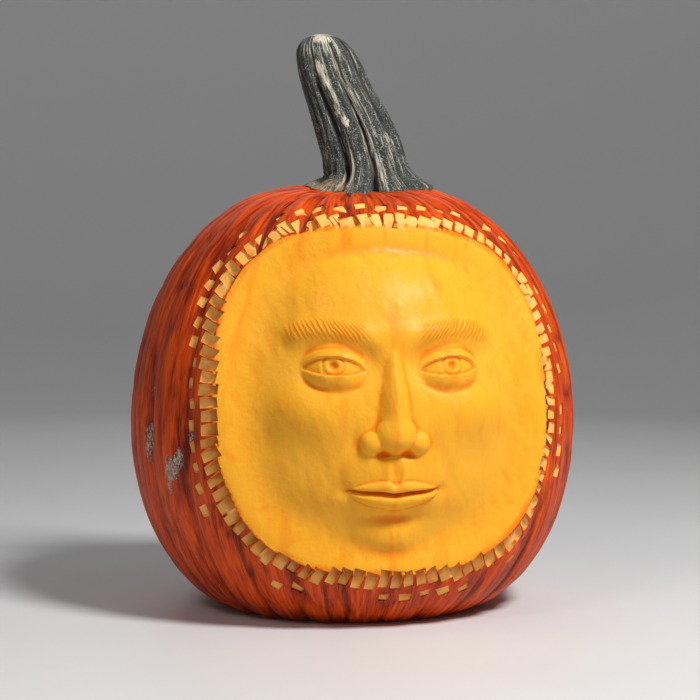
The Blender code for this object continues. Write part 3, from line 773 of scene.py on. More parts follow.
def body_mesh():
    """The body as one closed surface of rows from the underside's middle to the shoulder's hollow."""
    turn, latitude = np.meshgrid(spaced(TURN_STOPS, TURN_STEPS)[:-1], spaced(RISE_STOPS, RISE_STEPS))
    rows = body_surface(turn, latitude)
    lower = hollow_rows(rows[0], -BOTTOM_HOLLOW)[::-1]
    upper = hollow_rows(rows[-1], TOP_HOLLOW)
    mesh = closed_rows("pumpkin_body", np.concatenate([lower, rows, upper]))
    under = under_rind(turn, latitude) / MM
    radius, height = profile(latitude)
    side = np.abs(radius * np.sin(turn)) / MM / FACE_SPREAD
    brow, wave = brow_hair(side, EYE_Z + (height / MM - EYE_Z) / FACE_STRETCH)
    brow = brow * (under > 1.0) * (np.cos(turn) > FIELD_COSINE)
    # The crease share is kept to paint shade into the flesh's creases
    kept = {"under": under, "crease": crease_share(under), "brow": brow, "hair": wave}
    for name, values in kept.items():
        capped = np.pad(values, ((len(lower), len(upper)), (0, 0)))
        corner_values(mesh, name, np.append(capped.reshape(-1), (0.0, 0.0)))
    return mesh


def crease_share(depth):
    """How far each point lies deeper than its surroundings, in creases above 0 and on crests below 0."""
    around = depth
    for _ in range(CREASE_PASSES):
        across = np.roll(around, 1, axis=1) + np.roll(around, -1, axis=1)
        around = (around + across + np.roll(around, 1, axis=0) + np.roll(around, -1, axis=0)) / 5.0
    return np.clip((depth - around) / CREASE_DEPTH, -1.0, 1.0)


def hollow_rows(ring, depth):
    """Rows from a ring inwards: the radius shrinks by each share s, and the depth is d (1 - s^2)^2."""
    shares = HOLLOW_SHARES[:, None]
    rows = np.repeat(ring[None], len(shares), axis=0)
    level = ring[:, 2].mean()
    rows[..., 0] *= shares
    rows[..., 1] *= shares
    rows[..., 2] = level + (rows[..., 2] - level) * shares - depth * (1.0 - shares**2) ** 2
    return rows


def wedge(maker, under, turn, latitude, inwards, width, length, depths, tilt):
    """A square-ended chisel cut: shallow at its outer end, deep and wider at its inner end.

    It leans as it is turned. It adds to the list how deep under the rind each of its corners lies.
    """
    out = Vector(skin_normal(turn, latitude))
    place = Vector(crest_point(turn, latitude)) - out * float(skin_sink(np.array(turn), np.array(latitude)))
    along = (inwards - out * inwards.dot(out)).normalized()
    along = (along + along.cross(out) * tilt).normalized()
    across = along.cross(out)
    corners = []
    for reach, depth, flare in ((0.0, depths[0], CUT_FLARE[0]), (length, depths[1], CUT_FLARE[1])):
        for side in (-0.5, 0.5):
            aside = across * side * width * flare
            foot = place + along * reach
            deep = depth * (1.0 + 2.0 * side * tilt * LEAN_PER_TILT)
            corners.append(maker.verts.new(foot + aside - out * deep))
            corners.append(maker.verts.new(foot + aside * CUT_WALL_SLOPE + out * CUTTER_PROUD))
            under += [deep / MM, -CUTTER_PROUD / MM]
    a, b, c, d, e, f, g, h = corners
    for face in ((a, b, d, c), (e, g, h, f), (a, e, f, b), (c, d, h, g), (a, c, g, e), (b, f, h, d)):
        maker.faces.new(face)


def cut_direction(angle, inward):
    """The direction along the skin from a point near the edge towards the field's middle."""
    here = Vector(crest_point(*edge_place(angle, inward)))
    further = Vector(crest_point(*edge_place(angle, inward + CUT_DIRECTION_REACH)))
    return (further - here).normalized()


def even_angles(count, inward):
    """Angles round the field whose points are evenly spaced along its edge."""
    angles = np.linspace(0.0, FULL_TURN, 721)
    places = np.array([crest_point(*edge_place(angle, inward)) for angle in angles])
    lengths = np.concatenate([[0.0], np.cumsum(np.linalg.norm(np.diff(places, axis=0), axis=1))])
    return np.interp(np.arange(count) * lengths[-1] / count, lengths, angles)


def chisel_cuts():
    """The ring of notches round the field, and the separate chips outside it, as one mesh of wedges."""
    settings = bpy.context.scene.pumpkin_carving
    maker = bmesh.new()
    under = []
    draw = random.Random(NOTCH_SEED)
    for angle in even_angles(settings.notches, 0.0):
        inward = draw.uniform(*NOTCH_STARTS)
        turn, latitude = edge_place(angle, inward)
        shallow = 1.0 - float(smooth_step(math.cos(angle - NOTCH_DEEP_SIDE), *NOTCH_DEEP_SPREAD))
        width = settings.notch_width * draw.uniform(*NOTCH_WIDTH_SHARES)
        length = settings.notch_length * draw.uniform(*NOTCH_LENGTH_SHARES) - inward
        depths = (settings.notch_shallow, settings.notch_deep * (1.0 - NOTCH_EASING * shallow))
        wedge(maker, under, turn, latitude, cut_direction(angle, inward), width, length, depths,
              draw.uniform(-NOTCH_TILT, NOTCH_TILT))
    draw = random.Random(CHIP_SEED)
    for angle in even_angles(CHIPS, -CHIP_GAP):
        share = CHIP_SHARE_BELOW if math.sin(angle) < CHIPS_LOW else CHIP_SHARE_ABOVE
        wanted = draw.random() < share
        chip = settings.chip * draw.uniform(*CHIP_SIZE_SHARES)
        outward = -CHIP_GAP - chip + draw.uniform(*CHIP_STARTS)
        tilt = draw.uniform(-CHIP_TILT, CHIP_TILT)
        if wanted:
            turn, latitude = edge_place(angle, outward)
            wedge(maker, under, turn, latitude, cut_direction(angle, outward), chip, chip,
                  (settings.notch_shallow, settings.chip_deep), tilt)
    return wedges_object("chisel_cuts", maker, under)


def broken_teeth():
    """Shallow cuts between some of the notches, where the tooth between them has broken away."""
    settings = bpy.context.scene.pumpkin_carving
    maker = bmesh.new()
    under = []
    draw = random.Random(BROKEN_SEED)
    angles = even_angles(settings.notches, 0.0)
    for angle, onward in zip(angles, np.append(angles[1:], FULL_TURN)):
        angle = (angle + onward) / 2.0
        upper_right = max(0.0, math.cos(angle - math.pi / 4))
        share = BROKEN_SHARES[0] + (BROKEN_SHARES[1] - BROKEN_SHARES[0]) * upper_right
        wanted = draw.random() < share
        start = draw.uniform(*BROKEN_STARTS)
        tilt = draw.uniform(-BROKEN_TILT, BROKEN_TILT)
        if wanted:
            turn, latitude = edge_place(angle, start)
            wedge(maker, under, turn, latitude, cut_direction(angle, start), BROKEN_WIDTH,
                  settings.notch_length - start, BROKEN_DEPTHS, tilt)
    return wedges_object("broken_teeth", maker, under)


def wedges_object(name, maker, under):
    """The wedges as one object, with each corner's depth, and a share that is 1 on the floors."""
    bmesh.ops.recalc_face_normals(maker, faces=maker.faces)
    mesh = bpy.data.meshes.new(name)
    maker.to_mesh(mesh)
    maker.free()
    corner_values(mesh, "under", under)
    corner_values(mesh, "cut", np.array(under) > 0.0)
    return add_object(name, mesh)


def table_block():
    """A block under the height 0, which leaves the flat that the pumpkin rests on."""
    maker = bmesh.new()
    bmesh.ops.create_cube(maker, size=TABLE_SIZE)
    bmesh.ops.translate(maker, verts=maker.verts, vec=(0.0, 0.0, -TABLE_SIZE / 2.0))
    mesh = bpy.data.meshes.new("table_block")
    maker.to_mesh(mesh)
    maker.free()
    return add_object("table_block", mesh)


def cut_away(obj, cutter):
    """One Boolean difference, applied, after which the cutter is gone."""
    boolean = obj.modifiers.new("Cut", "BOOLEAN")
    boolean.operation = "DIFFERENCE"
    boolean.solver = "MANIFOLD"
    boolean.object = cutter
    graph = bpy.context.evaluated_depsgraph_get()
    shaped = bpy.data.meshes.new_from_object(obj.evaluated_get(graph))
    shaped.name = obj.data.name
    obj.modifiers.clear()
    obj.data = shaped
    bpy.data.objects.remove(cutter, do_unlink=True)


def mark_skin(mesh):
    """Attributes from each point's place: the grain round and up the body, the furrows and the scars."""
    places = point_places(mesh)
    turn = np.arctan2(places[:, 0], -places[:, 1])
    level = np.hypot(places[:, 0], places[:, 1])
    latitudes, lengths = meridian_lengths()
    radius, height = profile(latitudes)
    slopes = np.arctan2(height - WIDEST_HEIGHT, radius)
    latitude = np.interp(np.arctan2(places[:, 2] - WIDEST_HEIGHT, level), slopes, latitudes)
    up = np.interp(latitude, latitudes, lengths)
    point_values(mesh, "grain", np.stack([np.sin(turn), -np.cos(turn), up / BODY_RADIUS], axis=-1))
    groove = groove_depth(turn) / bpy.context.scene.pumpkin_body.rib_most
    point_values(mesh, "furrow", 0.6 * groove + 0.6 * furrow_depth(turn, latitude))
    scar = np.zeros(len(places))
    for scar_turn, scar_height, half_width, half_height in SCARS:
        across = (turn - math.radians(scar_turn)) * BODY_RADIUS
        scar = np.maximum(scar, bump(across, places[:, 2], 0.0, scar_height, half_width, half_height))
    point_values(mesh, "scar", scar)


def stem_rows():
    """Rows of the stem: its sections joined by smooth curves, each ring pushed out and in by its ridges.

    The radius is the section's times 1.04 + share x (ridge - 1), with ridge 1 on a crest and -1 in a groove,
    and this fades towards the rounded tip. Finer creases run along every ridge, and the foot's toes reach out
    over the shoulder.
    """
    settings = bpy.context.scene.pumpkin_stem
    known = np.vstack([STEM_SECTIONS, (*STEM_TIP, 0.0)])
    shares = np.arange(len(known), dtype=float)
    wanted = np.linspace(0.0, len(known) - 1.0, STEM_ROWS)[:-1]
    height, right, back, radius = (joined(shares, known[:, column], wanted)[:, None] for column in range(4))
    height = np.minimum(height, STEM_TIP[0])
    angle = np.linspace(0.0, FULL_TURN, STEM_SIDES, endpoint=False)[None, :]
    share = (height - height[0]) / (STEM_TIP[0] - height[0])
    fade = 1.0 - share**4
    foot = 1.0 - smooth_step(height, *STEM_FOOT)
    ridges = settings.ridges
    wander = 1.1 * patches(angle * ridges / FULL_TURN, share * 3.0, 71, ridges)
    waves = ridges * angle + wander
    ridge = 2.0 * np.abs(np.sin(waves / 2.0)) ** STEM_GROOVE_POWER - 1.0
    finer = 1.5 * waves + 0.9 * patches(angle * 27 / FULL_TURN, share * 4.0, 74, 27)
    finer = np.abs(np.sin(finer)) ** 0.5
    uneven = 0.4 + 1.1 * patches(angle * ridges / FULL_TURN, share * 5.0 + 2.0, 75, ridges)
    lines = 1.0 - np.abs(2.0 * patches(angle * 72 / FULL_TURN, share * 5.0, 72, 72) - 1.0)
    grit = patches(angle * 150 / FULL_TURN, share * 70.0, 73, 150)
    size = STEM_CREST + settings.ridge_share * (ridge - 1.0) * fade + 0.036 * uneven * (finer - 1.0) * fade
    size += 0.034 * (0.5 - lines**3) * fade + 0.014 * (grit - 0.5)
    size += STEM_TOES * (ridge - STEM_TOE_LEVEL) * foot
    left = np.clip(-np.cos(angle), 0.0, 1.0)
    ragged = patches(angle * 75 / FULL_TURN, share * 60.0, 76, 75)
    size += 0.20 * foot * (0.4 - ragged) * left
    size -= STEM_WAIST * left * np.exp(-(((height - STEM_WAIST_HEIGHT) / STEM_WAIST_SPREAD) ** 2))
    size = radius * size
    turned = angle + settings.twist * share
    across = right + size * np.cos(turned)
    away = back + size * STEM_DEPTH_SHARE * np.sin(turned)
    x = across * math.cos(VIEW_TURN) - away * math.sin(VIEW_TURN)
    y = across * math.sin(VIEW_TURN) + away * math.cos(VIEW_TURN)
    dip = shoulder_dip(np.arctan2(x, -y), np.zeros_like(x))
    dip = dip * foot * np.clip(size / STEM_FOOT_RADIUS, 0.0, 1.0)
    rows = np.stack([x, y, height - dip], axis=-1)
    ridge = ridge + 0.5 * uneven * (finer - 1.0) + 0.3 * (0.5 - lines**3)
    return rows, np.clip(ridge, -1.0, 1.0), share, turned


def joined(places, values, wanted):
    """A smooth curve through values at whole places: cubics whose slopes are their neighbours' mean."""
    slopes = np.gradient(values)
    start = np.clip(np.floor(wanted).astype(int), 0, len(places) - 2)
    part = wanted - start
    rise = values[start + 1] - values[start]
    bend_in = slopes[start] - rise
    bend_out = rise - slopes[start + 1]
    blend = (1.0 - part) * bend_in + part * bend_out
    return values[start] + part * rise + part * (1.0 - part) * blend


def stem_mesh():
    """The stem as one closed surface, with its ridge and its place round and up kept as attributes."""
    rows, ridge, share, around = stem_rows()
    mesh = closed_rows("pumpkin_stem", rows)
    foot = STEM_SECTIONS[0, 0]
    worn, streaky, woody = stem_marks(around, foot + share * (STEM_TIP[0] - foot))
    kept = {"ridge": ridge, "worn": worn, "streaky": streaky, "woody": woody}
    for name, values in kept.items():
        ends = (values[0].mean(), values[-1].mean())
        point_values(mesh, name, np.append(values.reshape(-1), ends))
    up = np.broadcast_to(share, rows.shape[:2])
    grain = np.stack([np.cos(around), np.sin(around), up * STEM_GRAIN], axis=-1).reshape(-1, 3)
    point_values(mesh, "grain", np.vstack([grain, (0.0, 0.0, 0.0), (0.0, 0.0, STEM_GRAIN)]))
    return mesh


def stem_marks(around, height):
    """How worn, how streaked with cream and how woody the stem is, as soft hills round its known places."""
    degrees = np.mod(np.degrees(around) + 270.0, 360.0) - 270.0
    tip = smooth_step(height, STEM_TIP[0] - 0.0034, STEM_TIP[0] - 0.0008)
    worn = np.broadcast_to(tip, degrees.shape)
    for angle, middle, half_angle, half_height in STEM_WORN:
        worn = np.maximum(worn, bump(degrees, height, angle, middle, half_angle, half_height))
    streaky = np.zeros_like(degrees)
    for angle, middle, half_angle, half_height in STEM_STREAKS:
        streaky = np.maximum(streaky, bump(degrees, height, angle, middle, half_angle, half_height))
    left = smooth_step(-np.cos(around), 0.1, 0.6)
    woody = (1.0 - smooth_step(height, 0.2915, 0.2990)) * left
    woody = np.maximum(woody, 1.0 - smooth_step(height, 0.2875, 0.2905))
    return worn, streaky, woody


class Maker:
    """Short calls for building one node tree."""

    def __init__(self, tree):
        self.tree = tree

    def node(self, kind, **values):
        made = self.tree.nodes.new(kind)
        for name, value in values.items():
            setattr(made, name, value)
        return made

    def wire(self, source, socket):
        if isinstance(source, bpy.types.NodeSocket):
            self.tree.links.new(source, socket)
        else:
            socket.default_value = source

    def attribute(self, name, output):
        return self.node("ShaderNodeAttribute", attribute_name=name).outputs[output]

    def stretched(self, vector, scale):
        made = self.node("ShaderNodeVectorMath", operation="MULTIPLY")
        self.wire(vector, made.inputs[0])
        made.inputs[1].default_value = scale
        return made.outputs[0]

    def noise(self, vector, scale, detail=3.0, roughness=0.55):
        made = self.node("ShaderNodeTexNoise")
        self.wire(vector, made.inputs["Vector"])
        made.inputs["Scale"].default_value = scale
        made.inputs["Detail"].default_value = detail
        made.inputs["Roughness"].default_value = roughness
        return made.outputs["Fac"]

    def dots(self, vector, scale):
        """Distance to the nearest of many scattered points."""
        made = self.node("ShaderNodeTexVoronoi")
        self.wire(vector, made.inputs["Vector"])
        made.inputs["Scale"].default_value = scale
        return made.outputs["Distance"]

    def ramp(self, value, low, high, start=0.0, stop=1.0):
        """A value carried from one range to another with an S-curve, and held beyond it."""
        made = self.node("ShaderNodeMapRange", interpolation_type="SMOOTHSTEP")
        self.wire(value, made.inputs["Value"])
        made.inputs["From Min"].default_value = low
        made.inputs["From Max"].default_value = high
        made.inputs["To Min"].default_value = start
        made.inputs["To Max"].default_value = stop
        return made.outputs["Result"]

    def math(self, operation, a, b=0.0):
        made = self.node("ShaderNodeMath", operation=operation)
        self.wire(a, made.inputs[0])
        self.wire(b, made.inputs[1])
        return made.outputs[0]

    def add(self, a, b):
        return self.math("ADD", a, b)

    def minus(self, a, b):
        return self.math("SUBTRACT", a, b)

    def times(self, a, b):
        return self.math("MULTIPLY", a, b)

    def mix(self, share, a, b):
        """Two colours blended by a share."""
        made = self.node("ShaderNodeMix", data_type="RGBA")
        self.wire(share, made.inputs[0])
        self.wire(a, made.inputs[6])
        self.wire(b, made.inputs[7])
        return made.outputs[2]

    def bumped(self, height, distance, strength=1.0):
        made = self.node("ShaderNodeBump")
        self.wire(height, made.inputs["Height"])
        made.inputs["Distance"].default_value = distance
        made.inputs["Strength"].default_value = strength
        return made.outputs["Normal"]


def colour(value):
    """A setting's colour with an alpha of 1."""
    return (*value, 1.0)


def new_material(name):
    """A material, the maker for its nodes and its shader."""
    material = bpy.data.materials.new(name)
    material.use_nodes = True
    return material, Maker(material.node_tree), material.node_tree.nodes["Principled BSDF"]


def speckle_group():
    """Scattered specks: 1 on the specks nearest to random points, 0 elsewhere, thinned out by broad noise."""
    group = bpy.data.node_groups.new("Specks", "ShaderNodeTree")
    group.interface.new_socket("Vector", in_out="INPUT", socket_type="NodeSocketVector")
    group.interface.new_socket("Scale", in_out="INPUT", socket_type="NodeSocketFloat")
    group.interface.new_socket("Size", in_out="INPUT", socket_type="NodeSocketFloat")
    group.interface.new_socket("Specks", in_out="OUTPUT", socket_type="NodeSocketFloat")
    maker = Maker(group)
    inputs = maker.node("NodeGroupInput").outputs
    outputs = maker.node("NodeGroupOutput").inputs
    points = maker.node("ShaderNodeTexVoronoi")
    maker.wire(inputs["Vector"], points.inputs["Vector"])
    maker.wire(inputs["Scale"], points.inputs["Scale"])
    near = maker.math("LESS_THAN", points.outputs["Distance"], inputs["Size"])
    few = maker.node("ShaderNodeSeparateColor")
    maker.wire(points.outputs["Color"], few.inputs[0])
    chosen = maker.math("GREATER_THAN", few.outputs[0], 0.62)
    maker.wire(maker.times(near, chosen), outputs["Specks"])
    return group


def specks(maker, vector, scale, size):
    """One use of the scattered specks in a material."""
    group = bpy.data.node_groups.get("Specks") or speckle_group()
    made = maker.node("ShaderNodeGroup", node_tree=group)
    maker.wire(vector, made.inputs["Vector"])
    made.inputs["Scale"].default_value = scale
    made.inputs["Size"].default_value = size
    return made.outputs["Specks"]


def body_material():
    """Rind where nothing is cut, then flesh that turns from orange to yellow with its depth."""
    skin = bpy.context.scene.pumpkin_body
    cut = bpy.context.scene.pumpkin_carving
    material, maker, shader = new_material("pumpkin_rind_and_flesh")
    place = maker.node("ShaderNodeTexCoord").outputs["Object"]
    grain = maker.attribute("grain", "Vector")
    under = maker.attribute("under", "Fac")
    furrow = maker.attribute("furrow", "Fac")
    scar = maker.attribute("scar", "Fac")

    # Rind: bright and dark streaks along the ribs, pale specks, and dark furrows and rib grooves, whose
    # darkness is partly the rind's own colour and partly painted shade
    streaks = maker.noise(maker.stretched(grain, (30.0, 30.0, 4.0)), 1.0, 4.0, 0.62)
    threads = maker.noise(maker.stretched(grain, (120.0, 120.0, 10.0)), 1.0, 3.0, 0.6)
    blotches = maker.noise(maker.stretched(grain, (9.0, 9.0, 3.0)), 1.0, 4.0, 0.6)
    rind = maker.mix(maker.ramp(streaks, 0.46, 0.66), colour(skin.rind), colour(skin.rind_bright))
    furrows_and_groove_shade = maker.add(furrow, maker.ramp(threads, 0.3, 0.7, -0.16, 0.16))
    # Painted shade, partly real colour: the rind darkens in the rib grooves and furrows by their depth
    dark = maker.ramp(blotches, 0.36, 0.56, 0.35, 1.0)
    dark = maker.times(maker.ramp(furrows_and_groove_shade, 0.26, 0.82), dark)
    rind = maker.mix(dark, rind, colour(skin.rind_dark_and_groove_shade))
    rind = maker.mix(maker.ramp(streaks, 0.48, 0.34, 0.0, 0.75), rind, colour(skin.rind_dark_and_groove_shade))
    rind = maker.mix(maker.ramp(threads, 0.56, 0.72, 0.0, 0.50), rind, colour(skin.rind_dark_and_groove_shade))
    pale_specks = specks(maker, place, 190.0, 0.09)
    rind = maker.mix(maker.times(pale_specks, 0.45), rind, colour(skin.rind_speck))

    # Corky scars, broken up along the grain
    broken = maker.noise(maker.stretched(grain, (95.0, 95.0, 42.0)), 1.0, 5.0, 0.75)
    broken = maker.ramp(broken, 0.36, 0.66)
    corky = maker.ramp(maker.times(maker.add(scar, 0.04), broken), 0.20, 0.34)
    flaked = maker.ramp(maker.noise(place, 900.0, 4.0, 0.8), 0.46, 0.60)
    rind = maker.mix(corky, rind, maker.mix(flaked, colour(skin.scar), colour(skin.scar_pale)))

    # Flesh: its depth under the rind, fibres, veins under the furrows, painted shade in the creases and in
    # the grooves of the brows' hairs, and pits
    mottled = maker.noise(place, 42.0, 4.0, 0.6)
    fibres = maker.noise(maker.stretched(place, (90.0, 90.0, 26.0)), 1.0, 4.0, 0.65)
    depth = maker.add(under, maker.ramp(mottled, 0.3, 0.7, -0.9, 0.9))
    flesh = maker.mix(maker.ramp(depth, 0.5, 2.9), colour(cut.flesh_edge), colour(cut.flesh))
    flesh = maker.mix(maker.ramp(depth, 11.0, 24.0, 0.0, 0.7), flesh, colour(cut.flesh_pale))
    flesh = maker.mix(maker.ramp(fibres, 0.50, 0.70, 0.0, 0.25), flesh, colour(cut.flesh_edge))
    veins = maker.times(maker.ramp(furrow, 0.45, 0.85, 0.0, 0.5), maker.ramp(depth, 16.0, 7.0))
    flesh = maker.mix(veins, flesh, colour(cut.flesh_edge))
    # Painted shade: the flesh turns deep orange where it lies deeper than its surroundings
    crease = maker.attribute("crease", "Fac")
    flesh = maker.mix(maker.ramp(crease, 0.05, 0.75, 0.0, 0.85), flesh, colour(cut.flesh_edge))
    # Painted shade: the grooves between the brows' carved hair strokes are painted darker
    wave = maker.add(maker.attribute("hair", "Fac"), maker.times(fibres, 5.0))
    hairs = maker.math("SINE", wave)
    hairs = maker.times(maker.ramp(hairs, 0.7, -0.5), maker.attribute("brow", "Fac"))
    flesh = maker.mix(maker.times(hairs, 0.7), flesh, colour(cut.flesh_edge))
    pits = specks(maker, place, 110.0, 0.04)
    flesh = maker.mix(maker.times(pits, 0.55), flesh, colour(cut.flesh_pit))

    # The chisel cuts' floors: pale, partly their own colour and partly painted light, and darker towards
    # their deep ends with painted shade
    notch = maker.mix(maker.ramp(mottled, 0.35, 0.65, 0.0, 0.35), colour(cut.notch_floor_and_painted_light), colour(cut.flesh))
    inner = maker.add(under, maker.ramp(fibres, 0.3, 0.7, -1.0, 1.0))
    notch = maker.mix(maker.ramp(inner, 1.3, 4.8, 0.0, 0.90), notch, colour(cut.notch_depth_painted_shade))
    flesh = maker.mix(maker.ramp(maker.attribute("cut", "Fac"), 0.70, 0.97), flesh, notch)

    # The flesh starts a fraction of a millimetre under the rind, and is a little less rough
    cut_share = maker.ramp(under, 0.15, 0.60)
    maker.wire(maker.mix(cut_share, rind, flesh), shader.inputs["Base Color"])
    rind_rough = maker.ramp(streaks, 0.3, 0.7, 0.46, 0.62)
    rind_rough = maker.add(rind_rough, maker.times(corky, 0.3))
    flesh_rough = maker.ramp(mottled, 0.3, 0.7, 0.38, 0.54)
    gap = maker.minus(flesh_rough, rind_rough)
    rough = maker.add(rind_rough, maker.times(gap, cut_share))
    maker.wire(rough, shader.inputs["Roughness"])
    maker.wire(maker.ramp(cut_share, 0.0, 1.0, 0.14, 0.06), shader.inputs["Coat Weight"])
    shader.inputs["Coat Roughness"].default_value = 0.30

    # Fine relief of the rind and of the flesh
    relief = maker.add(maker.times(threads, 0.9), maker.times(streaks, 0.9))
    relief = maker.add(relief, maker.times(corky, 0.9))
    fine = maker.noise(place, 420.0, 3.0, 0.6)
    cut_relief = maker.add(maker.times(fine, 0.35), maker.times(fibres, 0.5))
    cut_relief = maker.minus(cut_relief, maker.times(pits, 0.5))
    cut_relief = maker.minus(cut_relief, maker.times(hairs, 0.7))
    gap = maker.minus(cut_relief, relief)
    height = maker.add(relief, maker.times(gap, cut_share))
    maker.wire(maker.bumped(height, 0.0009, 0.85), shader.inputs["Normal"])
    shader.inputs["Specular IOR Level"].default_value = 0.13
    shader.inputs["Subsurface Weight"].default_value = 0.14
    shader.inputs["Subsurface Radius"].default_value = (1.0, 0.40, 0.06)
    shader.inputs["Subsurface Scale"].default_value = 0.004
    return material


def stem_material():
    """Grey-green bark with near-black grooves that are partly painted shade, cream streaks, worn patches,
    specks and a woody foot.
    """
    look = bpy.context.scene.pumpkin_stem
    material, maker, shader = new_material("pumpkin_stem_bark")
    place = maker.node("ShaderNodeTexCoord").outputs["Object"]
    grain = maker.attribute("grain", "Vector")
    ridge = maker.attribute("ridge", "Fac")
    streaky = maker.attribute("streaky", "Fac")

    streaks = maker.noise(maker.stretched(grain, (17.0, 17.0, 1.2)), 1.0, 4.0, 0.66)
    threads = maker.noise(maker.stretched(grain, (52.0, 52.0, 4.0)), 1.0, 4.0, 0.7)
    shades = maker.noise(maker.stretched(grain, (5.0, 5.0, 1.0)), 1.0, 4.0, 0.6)
    flecks = maker.noise(maker.stretched(grain, (46.0, 46.0, 26.0)), 1.0, 4.0, 0.75)
    dust = maker.noise(place, 1100.0, 2.0, 0.7)

    # Bark: dark grooves, partly the bark's own colour and partly painted shade, tan in some of them, and
    # cream streaks
    bark = maker.mix(maker.ramp(ridge, -0.8, 0.35), colour(look.bark_dark_and_groove_shade), colour(look.bark))
    bark = maker.mix(maker.ramp(shades, 0.40, 0.60, 0.55, 0.0), bark, colour(look.bark_dark_and_groove_shade))
    bark = maker.mix(maker.ramp(threads, 0.38, 0.56, 0.75, 0.0), bark, colour(look.bark_dark_and_groove_shade))
    tan = maker.times(maker.ramp(shades, 0.50, 0.60), maker.ramp(ridge, 0.1, -0.8))
    bark = maker.mix(tan, bark, colour(look.tan))
    pale = maker.add(streaks, maker.times(streaky, 0.13))
    pale = maker.times(maker.ramp(pale, 0.57, 0.65), maker.ramp(threads, 0.42, 0.54))
    bark = maker.mix(maker.times(pale, 0.9), bark, colour(look.streak))

    # The woody foot, the worn patches with ragged edges, and dust on the ridges
    woody = maker.times(maker.attribute("woody", "Fac"), maker.ramp(flecks, 0.36, 0.56, 0.45, 1.0))
    wood = maker.mix(maker.ramp(threads, 0.40, 0.62), colour(look.tan), colour(look.wood))
    bark = maker.mix(woody, bark, wood)
    tears = maker.ramp(maker.noise(maker.stretched(grain, (26.0, 26.0, 7.0)), 1.0, 5.0, 0.75), 0.32, 0.68)
    ragged = maker.add(maker.times(tears, 1.2), maker.times(flecks, 1.2))
    worn = maker.times(maker.attribute("worn", "Fac"), ragged)
    worn = maker.ramp(worn, 0.66, 0.84)
    bark = maker.mix(worn, bark, colour(look.worn))
    dusty = maker.times(maker.ramp(dust, 0.56, 0.66), maker.ramp(ridge, -0.4, 0.5))
    dusty = maker.times(dusty, maker.ramp(flecks, 0.42, 0.60, 0.20, 1.0))
    bark = maker.mix(dusty, bark, colour(look.streak))

    maker.wire(bark, shader.inputs["Base Color"])
    maker.wire(maker.ramp(threads, 0.3, 0.7, 0.48, 0.72), shader.inputs["Roughness"])
    relief = maker.add(maker.times(streaks, 0.9), maker.times(threads, 0.9))
    relief = maker.add(relief, maker.times(flecks, 0.45))
    relief = maker.add(relief, maker.times(dust, 0.25))
    maker.wire(maker.bumped(relief, 0.0013, 0.95), shader.inputs["Normal"])
    shader.inputs["Specular IOR Level"].default_value = 0.4
    return material


def floor_material():
    """A plain pale floor with the faintest unevenness in its sheen."""
    material, maker, shader = new_material("pale_floor")
    shader.inputs["Base Color"].default_value = colour(bpy.context.scene.pumpkin_stage.floor)
    place = maker.node("ShaderNodeTexCoord").outputs["Object"]
    maker.wire(maker.ramp(maker.noise(place, 6.0), 0.3, 0.7, 0.50, 0.60), shader.inputs["Roughness"])
    return material


def aim(obj, target):
    """Turns a light to face a point."""
    obj.rotation_euler = (Vector(target) - obj.location).to_track_quat("-Z", "Y").to_euler()


def area_light(name, place, size, power):
    """A round soft light that faces the pumpkin's middle."""
    light = bpy.data.lights.new(name, "AREA")
    light.shape = "DISK"
    light.size = size
    light.energy = power
    obj = bpy.data.objects.new(name, light)
    obj.location = place
    aim(obj, LIGHT_TARGET)
    bpy.context.collection.objects.link(obj)


class PUMPKIN_OT_body(bpy.types.Operator):
    """Grow the ribbed body, carve its field and cut the notches round it"""

    bl_idname = "pumpkin.body"
    bl_label = "Body"
    bl_options = {"REGISTER", "UNDO"}

    def execute(self, context):
        body = add_object("pumpkin_body", body_mesh())
        cut_away(body, chisel_cuts())
        cut_away(body, broken_teeth())
        cut_away(body, table_block())
        mesh = body.data
        mark_skin(mesh)
        mesh.vertices.foreach_set("co", settle(point_places(mesh)).astype(np.float32).reshape(-1))
        mesh.materials.clear()
        mesh.materials.append(body_material())
        mesh.shade_smooth()
        mesh.set_sharp_from_angle(angle=SHARP_ANGLE)
        mesh.update()
        ride_and_replace(body)
        return {"FINISHED"}


class PUMPKIN_OT_stem(bpy.types.Operator):
    """Set the leaning, ridged stem on the shoulder"""

    bl_idname = "pumpkin.stem"
    bl_label = "Stem"
    bl_options = {"REGISTER", "UNDO"}

    def execute(self, context):
        mesh = stem_mesh()
        mesh.vertices.foreach_set("co", settle(point_places(mesh)).astype(np.float32).reshape(-1))
        mesh.materials.append(stem_material())
        mesh.shade_smooth()
        mesh.update()
        ride_and_replace(add_object("pumpkin_stem", mesh))
        return {"FINISHED"}


class PUMPKIN_OT_stage(bpy.types.Operator):
    """Lay the pale floor, hang the soft lights and set the camera"""

    bl_idname = "pumpkin.stage"
    bl_label = "Floor, lights and camera"
    bl_options = {"REGISTER", "UNDO"}

    def execute(self, context):
        look = context.scene.pumpkin_stage
        floor = add_object("floor", floor_sweep())
        floor.data.materials.append(floor_material())
        floor.data.shade_smooth()
        for name, (place, size) in LIGHTS.items():
            area_light(name, place, size, getattr(look, name))
        world = bpy.data.worlds.new("studio")
        world.use_nodes = True
        sky = world.node_tree.nodes["Background"]
        sky.inputs["Color"].default_value = (1.0, 1.0, 1.0, 1.0)
        sky.inputs["Strength"].default_value = look.sky
        context.scene.world = world
        context.scene.view_settings.view_transform = "Standard"
        context.scene.camera = photo_camera()
        return {"FINISHED"}


